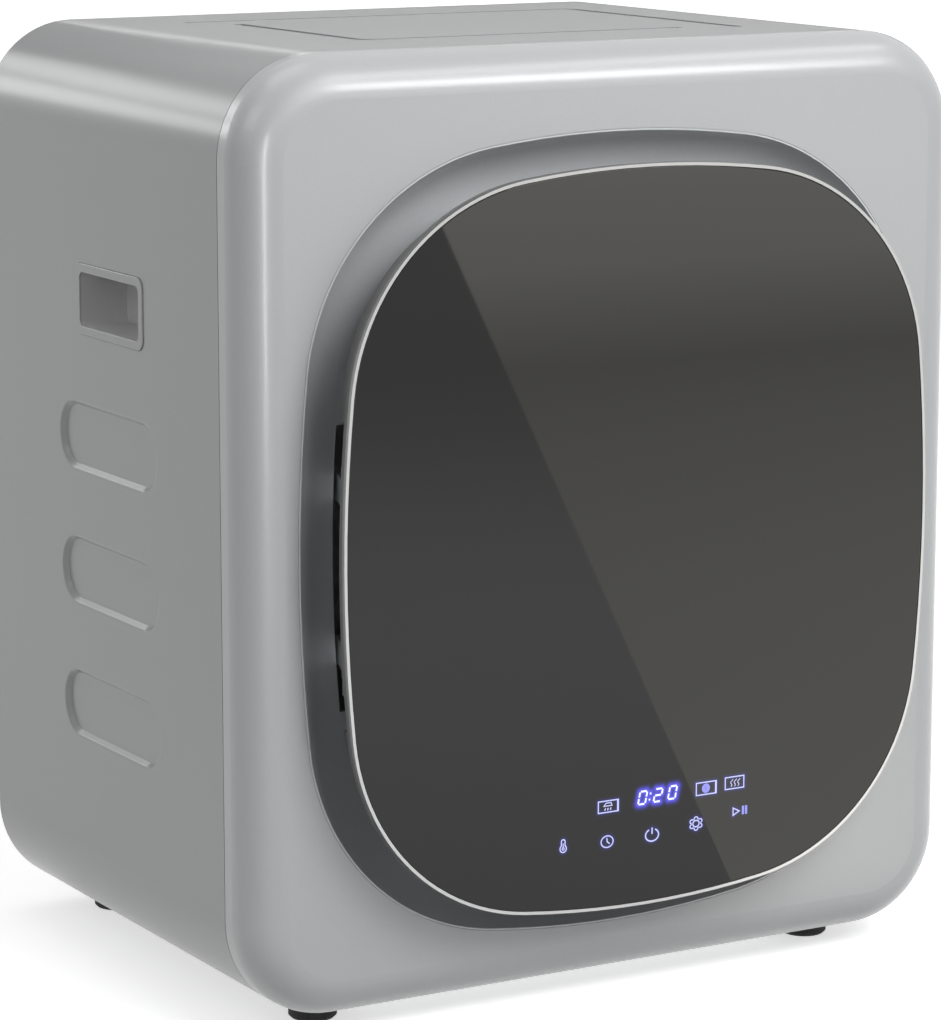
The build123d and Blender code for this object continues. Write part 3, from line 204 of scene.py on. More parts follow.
def grey(level, warmth=0.0):
    """Linear colour of a display level from 0 to 255, a little warmer or cooler than grey."""
    def linear(share):
        return share / 12.92 if share <= 0.04045 else ((share + 0.055) / 1.055) ** 2.4
    share = level / 255
    return (linear(share * (1 + warmth)), linear(share), linear(share * (1 - warmth)), 1)


def plain_material(name, **sockets):
    material = bpy.data.materials.new(name)
    material.use_nodes = True
    shader = material.node_tree.nodes["Principled BSDF"]
    for label, value in sockets.items():
        shader.inputs[label.replace("_", " ")].default_value = value
    return material, shader


def dressed_material(name, group, bump, reach, given, **sockets):
    """A material whose colour, roughness and relief come from a shared group."""
    material, shader = plain_material(name, **sockets)
    tree = material.node_tree
    dress = use_group(tree, group, given)
    tree.links.new(dress.outputs["Colour"], shader.inputs["Base Color"])
    tree.links.new(dress.outputs["Roughness"], shader.inputs["Roughness"])
    relief = tool(tree, "Bump")
    relief.inputs["Strength"].default_value = bump
    relief.inputs["Distance"].default_value = reach
    tree.links.new(dress.outputs["Height"], relief.inputs["Height"])
    tree.links.new(relief.outputs[0], shader.inputs["Normal"])
    return material


def surface(
    name, colour, roughness, bump=0.1, reach=0.0002, metallic=0.0, coat=0.0, coat_roughness=0.12,
    **given
):
    given = {"Colour": colour, "Roughness": roughness} | {
        label.replace("_", " "): value for label, value in given.items()
    }
    return dressed_material(
        name, surface_grain, bump, reach, given,
        Metallic=metallic, Coat_Weight=coat, Coat_Roughness=coat_roughness,
    )


silver_sheet = surface(
    "silver_sheet", grey(156, -0.008), 0.42, bump=0.05, metallic=0.06, coat=0.6, coat_roughness=0.2,
    Speckle_Scale=1600, Speckle=0.05, Cloud_Scale=4, Cloud=0.03, Grain_Scale=380,
)
silver_moulding = surface(
    "silver_moulding", grey(178, -0.01), 0.4, bump=0.04, metallic=0.14, coat=0.8, coat_roughness=0.2,
    Speckle_Scale=1800, Speckle=0.04, Cloud_Scale=4, Cloud=0.03, Grain_Scale=300,
)
gunmetal = surface(
    "gunmetal_moulding", grey(203, -0.012), 0.4, bump=0.03, metallic=0.1, coat=0.8, coat_roughness=0.2,
    Speckle_Scale=1800, Speckle=0.06, Cloud_Scale=6, Cloud=0.05, Grain_Scale=320,
)
chrome = surface(
    "chrome", grey(172), 0.3, bump=0.02, metallic=1.0,
    Speckle=0.0, Cloud=0.04, Cloud_Scale=30, Grain_Scale=200,
)
grey_moulding = surface(
    "grey_moulding", grey(120), 0.5, bump=0.25, reach=0.0003,
    Speckle_Scale=1200, Speckle=0.06, Cloud=0.05, Grain_Scale=1300,
)
black_rubber = surface(
    "black_rubber", grey(30), 0.7, bump=0.3, reach=0.0003,
    Speckle_Scale=700, Speckle=0.15, Cloud=0.1, Cloud_Scale=40, Grain_Scale=900,
)
grey_rubber = surface(
    "grey_rubber", grey(104), 0.62, bump=0.2, reach=0.0003,
    Speckle_Scale=900, Speckle=0.08, Cloud=0.08, Cloud_Scale=20, Grain_Scale=700,
)
galvanised = surface(
    "galvanised", grey(168, -0.01), 0.42, bump=0.05, metallic=0.8,
    Speckle_Scale=85, Speckle=0.16, Cloud=0.12, Cloud_Scale=9, Grain_Scale=500,
)
stainless = surface(
    "stainless", grey(196), 0.28, bump=0.08, metallic=1.0,
    Speckle_Scale=300, Speckle=0.02, Cloud=0.05, Grain_Scale=240, Stretch=(6, 0.6, 6),
)
aluminium = surface(
    "aluminium", grey(182), 0.4, bump=0.1, metallic=0.9,
    Speckle_Scale=700, Speckle=0.08, Cloud=0.08, Cloud_Scale=30, Grain_Scale=900,
)
white_moulding = surface(
    "white_moulding", grey(206, 0.008), 0.48, bump=0.15,
    Speckle_Scale=1000, Speckle=0.02, Cloud=0.04, Grain_Scale=1100,
)
black_moulding = surface(
    "black_moulding", grey(38), 0.48, bump=0.2, reach=0.0003,
    Speckle_Scale=900, Speckle=0.1, Cloud=0.08, Cloud_Scale=15, Grain_Scale=1200,
)
board = surface(
    "board", (0.02, 0.12, 0.05, 1), 0.45, bump=0.1,
    Speckle_Scale=220, Speckle=0.2, Cloud=0.1, Cloud_Scale=40, Grain_Scale=800,
)
bronze = surface(
    "bronze", (0.42, 0.24, 0.09, 1), 0.35, bump=0.1, metallic=1.0,
    Speckle_Scale=500, Speckle=0.1, Cloud=0.1, Cloud_Scale=40, Grain_Scale=600,
)
felt = dressed_material(
    "felt", felt_fibres, 0.6, 0.0006, {"Colour": (0.52, 0.5, 0.44, 1)}, Sheen_Weight=0.4
)
clear_glass, _ = plain_material(
    "clear_glass", Base_Color=(0.86, 0.92, 0.92, 1), Roughness=0.03, IOR=1.5,
    Transmission_Weight=0.92,
)

FINISHES = {
    "silver_sheet": silver_sheet, "silver_moulding": silver_moulding,
    "gunmetal_moulding": gunmetal, "chrome": chrome, "grey_moulding": grey_moulding,
    "clear_glass": clear_glass, "black_rubber": black_rubber, "grey_rubber": grey_rubber,
    "galvanised": galvanised, "stainless": stainless, "aluminium": aluminium, "felt": felt,
    "white_moulding": white_moulding, "black_moulding": black_moulding, "board": board,
    "bronze": bronze,
}


GLASS_ROUGHNESS = 0.015
DISPLAY_BLUE = (0.1, 0.09, 0.85)


def make_smoked_glass():
    """Near-black glass. The light of the display spreads into it where the mesh says so."""
    material, shader = plain_material(
        "smoked_glass", Base_Color=grey(14), Roughness=GLASS_ROUGHNESS, IOR=1.5,
        Specular_IOR_Level=0.36, Emission_Strength=1.0,
    )
    tree = material.node_tree
    smear = use_group(tree, surface_grain, {
        "Colour": grey(14, 0.03), "Roughness": GLASS_ROUGHNESS, "Speckle": 0.0, "Cloud Scale": 7.0,
        "Cloud": 0.008, "Grain Scale": 20.0,
    })
    tree.links.new(smear.outputs["Colour"], shader.inputs["Base Color"])
    tree.links.new(smear.outputs["Roughness"], shader.inputs["Roughness"])
    glow = tool(tree, "Attribute", attribute_name="glow")
    tree.links.new(scaled(tree, DISPLAY_BLUE, glow.outputs["Fac"]), shader.inputs["Emission Color"])
    return material


smoked_glass = make_smoked_glass()


def lit_material(name, colour, strength):
    """Lamp-lit lines of the display, a little uneven along their length."""
    material, shader = plain_material(
        name, Base_Color=(0.1, 0.1, 0.2, 1), Roughness=0.3, Emission_Strength=strength
    )
    tree = material.node_tree
    uneven = use_group(
        tree, surface_grain, {"Colour": colour, "Speckle": 0.0, "Cloud Scale": 300.0, "Cloud": 0.25}
    )
    tree.links.new(uneven.outputs["Colour"], shader.inputs["Emission Color"])
    return material


lit_digit = lit_material("lit_digit", (0.8, 0.84, 1.0, 1), 1.25)
lit_icon = lit_material("lit_icon", (0.56, 0.6, 1.0, 1), 1.0)
lit_dim = lit_material("lit_dim", (0.24, 0.25, 0.8, 1), 1.0)


# CAD pieces take the finish of their own slot
slot_of = {row["node"]: row["material_slot"] for row in frame["record"]["subparts"]}
for name, node in nodes.items():
    finish = FINISHES.get(slot_of.get(name), grey_moulding)
    for place in node.material_slots:
        place.material = finish


# The grip cups have the sides' paint with painted light inside: the colour turns pale into the recess,
# as if more light reached it. Rounded edges catch the light
GRIP_FACE, GRIP_INSIDE = 0.2948, 0.2938
# Pale colour painted inside the cups, as painted light
GRIP_PAINTED_LIGHT = grey(215)
GRIP_ROUND, GRIP_CORNER = 0.0007, 50


def make_grip_painted_light():
    """The sides' paint, painted pale from GRIP_FACE to GRIP_INSIDE, measured from the middle, as painted
    light inside the cup.
    """
    material = silver_sheet.copy()
    material.name = "grip_painted_light"
    tree = material.node_tree
    dress = next(node for node in tree.nodes if node.type == "GROUP")
    across = tool(tree, "SeparateXYZ")
    tree.links.new(tool(tree, "TexCoord").outputs["Object"], across.inputs[0])
    mirrored = arithmetic(tree, "MULTIPLY", across.outputs["X"], -1)
    outward = arithmetic(tree, "MAXIMUM", across.outputs["X"], mirrored)
    # Painted light: a ramp from the sheet's colour to a pale one inside the recess
    paint = tool(tree, "ValToRGB")
    outer, inner = paint.color_ramp.elements
    outer.color, inner.color = tuple(dress.inputs["Colour"].default_value), GRIP_PAINTED_LIGHT
    tree.links.new(map_range(tree, outward, GRIP_FACE, GRIP_INSIDE, 0.0, 1.0), paint.inputs[0])
    tree.links.new(paint.outputs["Color"], dress.inputs["Colour"])
    return material


grip_painted_light = make_grip_painted_light()
for name in ("grip_cup_left", "grip_cup_right"):
    for place in nodes[name].material_slots:
        place.material = grip_painted_light
    rounding = nodes[name].modifiers.new("rounded_edges", "BEVEL")
    rounding.width = GRIP_ROUND
    rounding.segments = 2
    rounding.limit_method = "ANGLE"
    rounding.angle_limit = math.radians(GRIP_CORNER)
    rounding.harden_normals = True


# Mesh helpers

def add_piece(name, mesh, material, body):
    mesh.materials.append(material)
    piece = bpy.data.objects.new(name, mesh)
    scene.collection.objects.link(piece)
    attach(piece, body)
    return piece


def squarish_points(half_width, half_height, corner, bulge):
    """Closed line of tangent arcs: four corners, and four sides that bow out by bulge."""
    u, v = half_width - corner - bulge, half_height - corner - bulge
    reach = (corner + bulge) ** 2 - corner ** 2
    side_radius = (v * v + reach) / (2 * bulge)
    cap_radius = (u * u + reach) / (2 * bulge)
    side = math.atan2(v, u - half_width + side_radius)
    cap = math.atan2(u, v - half_height + cap_radius)
    right = math.pi / 2
    arcs = []
    for quarter in range(4):
        turn = quarter * right
        if quarter % 2 == 0:
            sign = 1 if quarter == 0 else -1
            arcs.append(((sign * (half_width - side_radius), 0), side_radius, turn - side, turn + side))
            arcs.append(((sign * u, sign * v), corner, turn + side, turn + right - cap))
        else:
            sign = 1 if quarter == 1 else -1
            arcs.append(((0, sign * (half_height - cap_radius)), cap_radius, turn - cap, turn + cap))
            arcs.append(((-sign * u, sign * v), corner, turn + cap, turn + right - side))
    points = []
    for (x, z), radius, start, end in arcs:
        count = max(2, round(radius * (end - start) / OUTLINE_STEP))
        for index in range(count):
            angle = start + (end - start) * index / count
            points.append((x + radius * math.cos(angle), z + radius * math.sin(angle)))
    return points


def door_points(inset):
    """The door's outline, drawn in by `inset`, at its place on the cabinet."""
    return [
        (x, z + DOOR_HEIGHT)
        for x, z in squarish_points(
            DOOR_HALF_WIDTH - inset, DOOR_HALF_HEIGHT - inset, DOOR_CORNER - inset, DOOR_BULGE
        )
    ]


SHARPEST = 0.35


def ribbon(lines, front, back, name):
    """Solid strips of even width along (points, width, closed) lines, points in (x, z).

    Corners sharper than SHARPEST, the cosine of their half turn, are cut short.
    """
    work = bmesh.new()
    for points, width, closed in lines:
        count = len(points)
        sides = []
        for index, point in enumerate(points):
            here = Vector(point)
            before = Vector(points[index - 1]) if closed or index else None
            after = Vector(points[(index + 1) % count]) if closed or index < count - 1 else None
            legs = [
                leg.normalized()
                for leg in ((here - before) if before else None, (after - here) if after else None)
                if leg is not None
            ]
            along = sum(legs, Vector((0, 0))).normalized()
            across = Vector((-along.y, along.x))
            square = Vector((-legs[0].y, legs[0].x))
            reach = width / 2 / max(SHARPEST, across.dot(square))
            sides.append((here + across * reach, here - across * reach))
        rings = [
            [
                work.verts.new((place.x, depth, place.y))
                for place, depth in ((a, front), (b, front), (b, back), (a, back))
            ]
            for a, b in sides
        ]
        pairs = zip(rings, rings[1:] + rings[:1]) if closed else zip(rings, rings[1:])
        for one, two in pairs:
            for k in range(4):
                work.faces.new((one[k], one[(k + 1) % 4], two[(k + 1) % 4], two[k]))
        if not closed:
            work.faces.new(rings[0])
            work.faces.new(rings[-1][::-1])
    bmesh.ops.recalc_face_normals(work, faces=work.faces)
    mesh = bpy.data.meshes.new(name)
    work.to_mesh(mesh)
    work.free()
    return mesh


def arc_points(x, z, radius, start, end, count):
    """Points along an arc, angles in degrees from straight right."""
    return [
        (
            x + radius * math.cos(math.radians(start + (end - start) * k / count)),
            z + radius * math.sin(math.radians(start + (end - start) * k / count)),
        )
        for k in range(count + 1)
    ]


def circle_points(x, z, radius, count=32):
    return arc_points(x, z, radius, 0, 360, count)[:-1]


def in_metres(lines):
    return [
        ([(x * MM, z * MM) for x, z in points], width * MM, closed) for points, width, closed in lines
    ]


# Display marks, in millimetres on the glass, with heights from the cabinet's underside
BASE = FOOT_HEIGHT / MM
LINE = 0.85
DIGIT_HEIGHT, DIGIT_WIDTH, DIGIT_LINE = 9.2, 6.0, 1.3
DIGIT_SLANT, DIGIT_GAP = 0.21, 0.55
SEGMENTS = {"0": "abcdef", "2": "abged"}
DIGIT_SPOTS = (("0", -5.6, 136.1), ("2", 7.4, 136.4), ("0", 19.6, 136.8))
COLON_LEFT, COLON_FOOT, COLON_DOTS = 2.6, 132, (138.6, 143.0)
DOT_HALF, DOT_LEAN, DOT_LINE = 0.6, 0.2, 1.2


def digit_lines(symbol, x, z):
    """Slanted seven-bar digit whose lower left corner is at (x, z)."""
    half, wide = DIGIT_HEIGHT / 2, DIGIT_WIDTH
    ends = {
        "a": ((0, 2 * half), (wide, 2 * half)), "b": ((wide, half), (wide, 2 * half)),
        "c": ((wide, 0), (wide, half)), "d": ((0, 0), (wide, 0)), "e": ((0, 0), (0, half)),
        "f": ((0, half), (0, 2 * half)), "g": ((0, half), (wide, half)),
    }
    lines = []
    for bar in SEGMENTS[symbol]:
        (x1, z1), (x2, z2) = ends[bar]
        length = math.hypot(x2 - x1, z2 - z1)
        ux, uz = (x2 - x1) / length * DIGIT_GAP, (z2 - z1) / length * DIGIT_GAP
        lines.append((
            [
                (x + px + DIGIT_SLANT * pz, z + pz)
                for px, pz in ((x1 + ux, z1 + uz), (x2 - ux, z2 - uz))
            ],
            DIGIT_LINE, False,
        ))
    return lines


def framed_box(x0, x1, z0, z1, heavy):
    """Rectangle whose right side is drawn `heavy` wide."""
    lines = [([(x0, z0), (x1, z0), (x1, z1), (x0, z1)], LINE, True)]
    if heavy > LINE:
        x = x1 - LINE / 2 - (heavy - LINE) / 2
        lines.append(([(x, z0 + LINE / 2), (x, z1 - LINE / 2)], heavy - LINE, False))
    return lines


digits = []
for symbol, x, z in DIGIT_SPOTS:
    digits += digit_lines(symbol, x, z + BASE)
for z in COLON_DOTS:
    x = COLON_LEFT + (z - COLON_FOOT) * DIGIT_SLANT
    digits.append(([(x, z - DOT_HALF + BASE), (x + DOT_LEAN, z + DOT_HALF + BASE)], DOT_LINE, False))


def drawn_sign(lines, x, z, wide, tall):
    """Lines drawn round (0, 0), put at (x, z) with their width and height scaled."""
    return [
        ([(x + px * wide, z + BASE + pz * tall) for px, pz in points], *rest)
        for points, *rest in lines
    ]


# Key signs, each drawn round (0, 0)
BULB_HEIGHT, THIN_LINE, BOLD_LINE = -2.0, 0.7, 1.0
thermometer = [
    (arc_points(0, 3.2, 1.5, 0, 180, 12) + arc_points(0, BULB_HEIGHT, 2.6, 125, 415, 24), LINE, True),
    (circle_points(0, BULB_HEIGHT, 0.9, 16), THIN_LINE, True),
    ([(0, -1.0), (0, 2.0)], THIN_LINE, False),
]
clock = [
    (circle_points(0, 0, 5.4), LINE, True),
    ([(-0.2, 3.4), (0, 0), (2.3, -2.2)], LINE, False),
]
power = [
    (arc_points(0, 0, 6.1, 118, 422, 36), BOLD_LINE, False),
    ([(0, 1.1), (0, 7.4)], BOLD_LINE, False),
]
PETALS, PETAL_REACH, PETAL_RADIUS, PETAL_TURN, PETAL_LINE = 6, 4.3, 1.75, 112, 0.8
flower = [(circle_points(0, 0, 2.9, 24), LINE, True)]
for petal in range(PETALS):
    angle = 90 + 360 // PETALS * petal
    centre = (PETAL_REACH * math.cos(math.radians(angle)), PETAL_REACH * math.sin(math.radians(angle)))
    outline = arc_points(*centre, PETAL_RADIUS, angle - PETAL_TURN, angle + PETAL_TURN, 14)
    flower.append((outline, PETAL_LINE, False))
play = [([(-2.8, -3.9), (3.2, 0), (-2.8, 3.9)], LINE, True)]
pause = [([(x, 117.2 + BASE), (x, 123.6 + BASE)], 1.9, False) for x in (84.2, 86.9)]

# Each key sign with its place and its shares of the drawn width and height. Then the left,
# right, bottom and top of each framed sign, with the line width of its right side
SIGNS = (
    (thermometer, -67.6, 114.2, 1, 1), (clock, -31.2, 112.5, 0.93, 0.78),
    (power, 6.5, 112.3, 0.9, 0.74), (flower, 43.8, 115.7, 0.93, 0.82), (play, 78.1, 120.2, 0.88, 0.7),
)
FRAMES = (
    (-38.7, -22.0, 134.0, 142.3, 1.5), (43.8, 60.9, 136.3, 145.3, 1.5), (68.6, 84.6, 137.5, 146.2, LINE),
)
icons = []
for sign in SIGNS:
    icons += drawn_sign(*sign)
for left, right, bottom, top, heavy in FRAMES:
    icons += framed_box(left, right, bottom + BASE, top + BASE, heavy)

# Iron over three drops, in the left frame
gx, gz = -30.7, 138.1 + BASE
small = [(
    [(gx - 3.4, gz + 0.5), (gx - 1.6, gz + 2.6), (gx + 2.6, gz + 2.6), (gx + 3.4, gz + 0.5)],
    THIN_LINE, True,
)]
small += [([(gx + x - 0.3, gz - 2.7), (gx + x + 0.3, gz - 1.0)], 0.9, False) for x in (-2.3, 0, 2.3)]
# Disc of four rings that touch, in the middle frame
disc = [(circle_points(52.0, 140.8 + BASE, radius, 24), 0.75, True) for radius in (0.8, 1.6, 2.4, 3.1)]
# Three rising waves, in the right frame
wx, wz = 76.4, 141.8 + BASE
for shift in (-3.0, 0, 3.0):
    wave = [
        (wx + shift + 0.8 * math.sin(k * 0.9) + k * 0.12, wz - 2.7 + k * 0.6) for k in range(10)
    ]
    small.append((wave, 0.6, False))

MARK_FRONT, MARK_BACK = GLASS_FRONT + 0.02 * MM, GLASS_FRONT + 0.6 * MM
for name, lines, material in (
    ("display_digits", digits, lit_digit), ("display_icons", icons, lit_icon),
    ("display_pause", pause, lit_dim), ("display_box_signs", small, lit_icon),
    ("display_disc", disc, lit_dim),
):
    add_piece(name, ribbon(in_metres(lines), MARK_FRONT, MARK_BACK, name), material, "door")


def distance_to(lines, x, z):
    """Distance from a point to the nearest of some lines."""
    best = 1e9
    for points, _, closed in lines:
        ends = zip(points, points[1:] + points[:1]) if closed else zip(points, points[1:])
        for (x1, z1), (x2, z2) in ends:
            length = (x2 - x1) ** 2 + (z2 - z1) ** 2
            share = max(0.0, min(1.0, ((x - x1) * (x2 - x1) + (z - z1) * (z2 - z1)) / length))
            best = min(best, (x - x1 - share * (x2 - x1)) ** 2 + (z - z1 - share * (z2 - z1)) ** 2)
    return math.sqrt(best)


# How strong the light round the digits and the signs is, how far it spreads, and where it ends
DIGIT_GLOW, DIGIT_SPREAD = 1.15, 2.6
DIGITS_LEFT, DIGITS_RIGHT, DIGITS_BOTTOM, DIGITS_TOP = -14, 38, 122 + BASE, 156 + BASE
ICON_GLOW, ICON_SPREAD, ICON_REACH = 0.16, 1.6, 14
icon_spots = [(x, z + BASE) for _, x, z, _, _ in SIGNS] + [
    ((left + right) / 2, (bottom + top) / 2 + BASE) for left, right, bottom, top, _ in FRAMES
]


def glow_at(x, z):
    """Strength of the blue light round the marks, x and z in millimetres."""
    light = 0.0
    if DIGITS_LEFT < x < DIGITS_RIGHT and DIGITS_BOTTOM < z < DIGITS_TOP:
        light += DIGIT_GLOW * math.exp(-((distance_to(digits, x, z) / DIGIT_SPREAD) ** 2))
    if any(abs(x - px) < ICON_REACH and abs(z - pz) < ICON_REACH for px, pz in icon_spots):
        light += ICON_GLOW * math.exp(-((distance_to(icons, x, z) / ICON_SPREAD) ** 2))
    return light


GLASS_EDGE, GLASS_EDGE_TURNS = 0.0009, (0, 30, 60, 90)
GLASS_SINK = 0.05 * MM
# Left, right, bottom and top of the patch, its cell, and its dark border, in millimetres
PATCH, PATCH_CELL, PATCH_BORDER = (-78.0, 92.0, 121.0, 174.0), 0.75, 0.1
TOUCHING = 1e-7


def make_front_glass():
    """Flat glass with a small rounded edge, and a fine patch where the display shines into it."""
    work = bmesh.new()
    front = GLASS_FRONT + GLASS_SINK
    rounds = [
        (GLASS_EDGE * (1 - math.sin(turn)), GLASS_EDGE * (1 - math.cos(turn)))
        for turn in map(math.radians, GLASS_EDGE_TURNS)
    ]
    loops = [
        [work.verts.new((x, front + depth, z)) for x, z in door_points(RIM_INSET + inset)]
        for inset, depth in rounds
    ]
    loops.append([
        work.verts.new((x, GLASS_FRONT + GLASS_THICK, z)) for x, z in door_points(RIM_INSET)
    ])
    count = len(loops[0])
    for one, two in zip(loops, loops[1:]):
        for k in range(count):
            work.faces.new((one[k], one[(k + 1) % count], two[(k + 1) % count], two[k]))
    work.faces.new(loops[-1])
    x0, x1, z0, z1 = PATCH
    across, up = round((x1 - x0) / PATCH_CELL), round((z1 - z0) / PATCH_CELL)
    grid = [
        [
            work.verts.new(((x0 + (x1 - x0) * i / across) * MM, front, (z0 + (z1 - z0) * k / up) * MM))
            for i in range(across + 1)
        ]
        for k in range(up + 1)
    ]
    for k in range(up):
        for i in range(across):
            work.faces.new((grid[k][i], grid[k][i + 1], grid[k + 1][i + 1], grid[k + 1][i]))
    border = (
        grid[0] + [row[-1] for row in grid[1:]] + grid[-1][-2::-1] + [row[0] for row in grid[-2:0:-1]]
    )
    edges = [
        work.edges.get((loop[k], loop[(k + 1) % len(loop)]))
        for loop in (loops[0], border) for k in range(len(loop))
    ]
    bmesh.ops.triangle_fill(
        work, edges=edges, use_beauty=True, use_dissolve=False, normal=(0, -1, 0)
    )
    bmesh.ops.recalc_face_normals(work, faces=work.faces)
    mesh = bpy.data.meshes.new("front_glass")
    work.to_mesh(mesh)
    work.free()
    for face in mesh.polygons:
        face.use_smooth = face.normal.y > -0.999
    glow = mesh.attributes.new("glow", "FLOAT", "POINT")
    for vertex in mesh.vertices:
        x, z = vertex.co.x / MM, vertex.co.z / MM
        inside = (
            abs(vertex.co.y - front) < TOUCHING and x0 + PATCH_BORDER < x < x1 - PATCH_BORDER
            and z0 + PATCH_BORDER < z < z1 - PATCH_BORDER
        )
        glow.data[vertex.index].value = glow_at(x, z) if inside else 0.0
    return mesh


front_glass = add_piece("front_glass", make_front_glass(), smoked_glass, "door")
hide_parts("door_glass")


# Floor, studio, lamps and camera
WHITE = (1, 1, 1)
FLOOR_REACH = 30
FLOOR_DULL, FLOOR_PALE = 0.2, 0.95
GLOW_START, GLOW_END, GLOW_NEAR, GLOW_FAR = 0.8, 5.0, 0.6, 0.8
SKY_LEVEL = 0.36
CAMERA_PLACE = (-1.51003, -2.61291, 0.88856)
CAMERA_YAW, CAMERA_PITCH, CAMERA_LENS = 30.020, 10.585, 143.55


def background_rays(tree):
    """1 for the rays that show the background: straight, mirrored or through glass."""
    path = tool(tree, "LightPath")
    seen = arithmetic(tree, "MAXIMUM", path.outputs["Is Camera Ray"], path.outputs["Is Glossy Ray"])
    return arithmetic(tree, "MAXIMUM", seen, path.outputs["Is Transmission Ray"])


def mesh_object(name, corners, faces):
    mesh = bpy.data.meshes.new(name)
    mesh.from_pydata([tuple(corner) for corner in corners], [], faces)
    thing = bpy.data.objects.new(name, mesh)
    scene.collection.objects.link(thing)
    return thing


def make_floor():
    """Pale floor that looks white, yet throws little light back on the object."""
    corners = [(x * FLOOR_REACH, y * FLOOR_REACH, 0) for x, y in ((-1, -1), (1, -1), (1, 1), (-1, 1))]
    floor = mesh_object("floor", corners, [(0, 1, 2, 3)])
    material, shader = plain_material(
        "floor", Roughness=0.9, Specular_IOR_Level=0.1, Emission_Strength=1.0
    )
    tree = material.node_tree
    seen = background_rays(tree)
    paler = arithmetic(tree, "MULTIPLY", seen, FLOOR_PALE - FLOOR_DULL)
    white = scaled(tree, WHITE, arithmetic(tree, "ADD", FLOOR_DULL, paler))
    tree.links.new(white, shader.inputs["Base Color"])
    away = tool(tree, "VectorMath", operation="LENGTH")
    tree.links.new(tool(tree, "TexCoord").outputs["Object"], away.inputs[0])
    rise = map_range(
        tree, away.outputs["Value"], GLOW_START, GLOW_END, GLOW_NEAR, GLOW_FAR,
        interpolation_type="SMOOTHSTEP",
    )
    glow = scaled(tree, WHITE, arithmetic(tree, "MULTIPLY", rise, seen))
    tree.links.new(glow, shader.inputs["Emission Color"])
    floor.data.materials.append(material)


def make_studio():
    """White backdrop whose light on the object is held back to SKY_LEVEL."""
    world = bpy.data.worlds.new("studio")
    scene.world = world
    world.use_nodes = True
    tree = world.node_tree
    back = tree.nodes["Background"]
    shown = arithmetic(tree, "MULTIPLY", background_rays(tree), 1 - SKY_LEVEL)
    back.inputs["Color"].default_value = (1, 1, 1, 1)
    tree.links.new(arithmetic(tree, "ADD", SKY_LEVEL, shown), back.inputs["Strength"])


def add_lamp(name, target, azimuth, height, distance, size, level, gloss=True, body=True):
    """Area lamp seen from `target` at an azimuth from the front, to the right, and a height angle.

    `size` is its width and height, and `level` its brightness, where 1 is white. A lamp can
    show in gloss alone or light the body colours alone.
    """
    data = bpy.data.lights.new(name, "AREA")
    data.shape = "RECTANGLE"
    data.size, data.size_y = size
    data.energy = level * math.pi * size[0] * size[1]
    lamp = bpy.data.objects.new(name, data)
    turn, rise = math.radians(azimuth), math.radians(height)
    away = Vector((math.sin(turn) * math.cos(rise), -math.cos(turn) * math.cos(rise), math.sin(rise)))
    lamp.location = Vector(target) + away * distance
    lamp.rotation_euler = (-away).to_track_quat("-Z", "Y").to_euler()
    lamp.visible_camera = False
    lamp.visible_glossy = gloss
    lamp.visible_diffuse = body
    scene.collection.objects.link(lamp)


def add_card(name, rows, colour=WHITE):
    """Card that only gloss shows, in rows of (left corner, right corner, brightness)."""
    corners = [corner for left, right, _ in rows for corner in (left, right)]
    faces = [(2 * k, 2 * k + 1, 2 * k + 3, 2 * k + 2) for k in range(len(rows) - 1)]
    card = mesh_object(name, corners, faces)
    shine = card.data.attributes.new("shine", "FLOAT", "POINT")
    for index in range(len(corners)):
        shine.data[index].value = rows[index // 2][2]
    material, shader = plain_material(
        name, Base_Color=(0, 0, 0, 1), Roughness=1.0, Emission_Strength=1.0
    )
    tree = material.node_tree
    bright = tool(tree, "Attribute", attribute_name="shine").outputs["Fac"]
    tree.links.new(scaled(tree, colour, bright), shader.inputs["Emission Color"])
    card.data.materials.append(material)
    card.visible_camera = False
    card.visible_diffuse = False
    card.visible_shadow = False
    card.visible_transmission = False


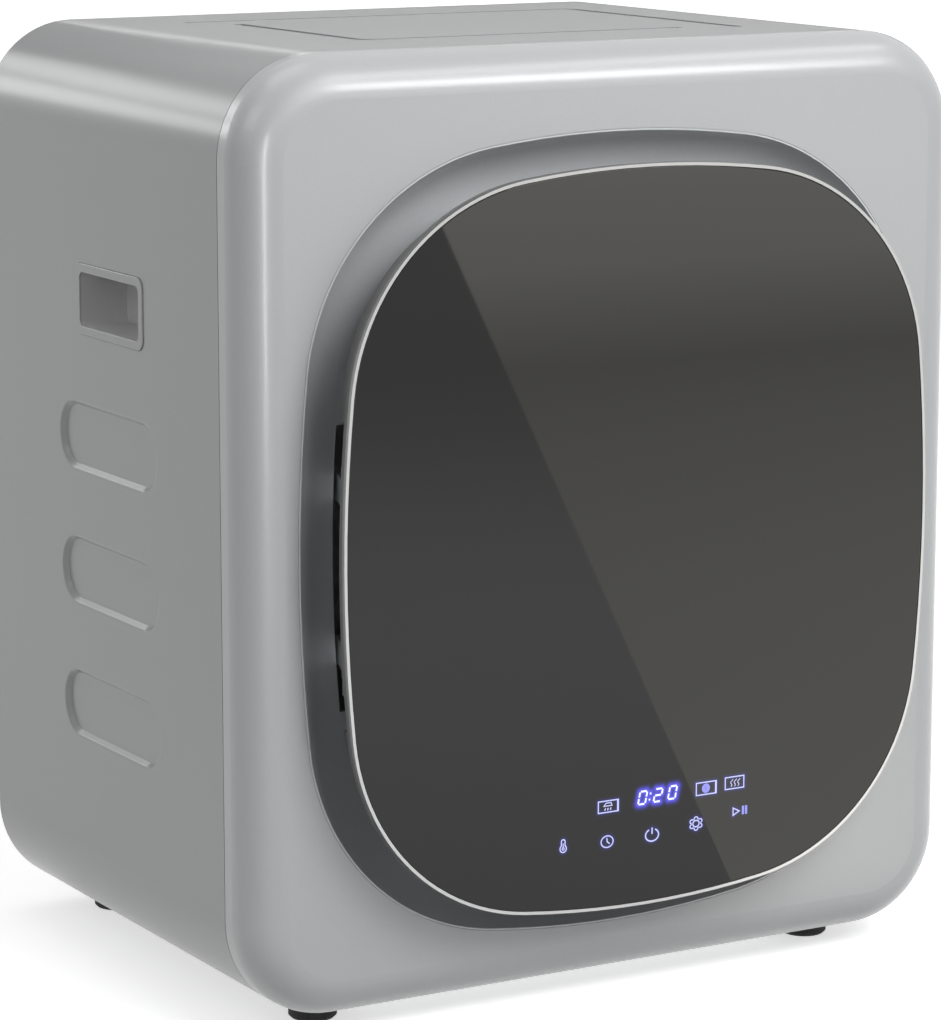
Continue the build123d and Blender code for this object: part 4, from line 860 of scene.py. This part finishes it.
make_floor()
make_studio()
TOP_EDGE = (0, FACE_Y, 0.66)
LEFT_EDGE = (-0.28, FACE_Y, 0.6)
TOP_LEFT = (-0.28, 0, 0.66)
MIDDLE = (0, 0, 0.34)
add_lamp("front_strip", TOP_EDGE, 32, 24, 2.0, (0.7, 0.5), 8.5, body=False)
add_lamp("upper_strip", TOP_EDGE, 50, 50, 2.0, (1.6, 0.4), 2.4, body=False)
add_lamp("front_softbox", MIDDLE, 14, 38, 2.4, (1.6, 1.2), 6.4, gloss=False)
add_lamp("left_softbox", TOP_LEFT, -75, 36, 1.6, (0.8, 0.6), 1.05)
add_lamp("left_strip", LEFT_EDGE, -25, 0, 1.2, (0.14, 0.7), 9.0, body=False)
for azimuth, height, level in ((-163.5, 20.5, 3.2), (-156.5, 11.5, 3.6)):
    add_lamp("back_left_strip", TOP_LEFT, azimuth, height, 2.5, (0.9, 0.3), level, body=False)
add_lamp("back_right_strip", TOP_EDGE, 150, 12, 3.0, (1.6, 0.12), 3.0, body=False)
add_lamp("top_softbox", MIDDLE, -120, 78, 2.6, (1.4, 1.4), 0.9)
# Grey card behind the object, which its flat top mirrors
add_card("grey_card", [((-1.2, 4, z), (5, 4, z), 0.3) for z in (0, 2.6)])

# Where the slanting edge of light shows on the glass, and its brightness by height
SLANT_TOP, SLANT_BOTTOM, SLANT_RIGHT = (-0.194, 0.633), (0.0965, 0.04), 0.3
SHINES = ((0.633, 3.3), (0.54, 2.7), (0.47, 1.6), (0.41, 1.9), (0.3, 2.2), (0.04, 2.4))
CARD_LIFT, CARD_COLOUR = 0.002, (1, 0.985, 0.94)


def make_reflection_card():
    """Bright strip on the floor, seen only in gloss, whose slanting edge shows in the door's glass."""
    mirrored = Vector((CAMERA_PLACE[0], 2 * GLASS_FRONT - CAMERA_PLACE[1], CAMERA_PLACE[2]))

    def on_floor(x, z):
        ray = Vector((x, GLASS_FRONT, z)) - mirrored
        return mirrored + ray * ((CARD_LIFT - mirrored.z) / ray.z)

    rows = []
    for height, shine in SHINES:
        share = (SLANT_TOP[1] - height) / (SLANT_TOP[1] - SLANT_BOTTOM[1])
        slant = SLANT_TOP[0] + (SLANT_BOTTOM[0] - SLANT_TOP[0]) * share
        rows.append((on_floor(slant, height), on_floor(SLANT_RIGHT, height), shine))
    add_card("reflection_card", rows, CARD_COLOUR)


make_reflection_card()

camera_data = bpy.data.cameras.new("camera")
camera_data.lens = CAMERA_LENS
camera_data.sensor_width = 36
camera_data.clip_end = 100
camera = bpy.data.objects.new("camera", camera_data)
camera.location = CAMERA_PLACE
camera.rotation_euler = (math.radians(90 - CAMERA_PITCH), 0, math.radians(-CAMERA_YAW))
scene.collection.objects.link(camera)
scene.camera = camera

scene.view_settings.view_transform = "Standard"

bpy.context.view_layer.update()
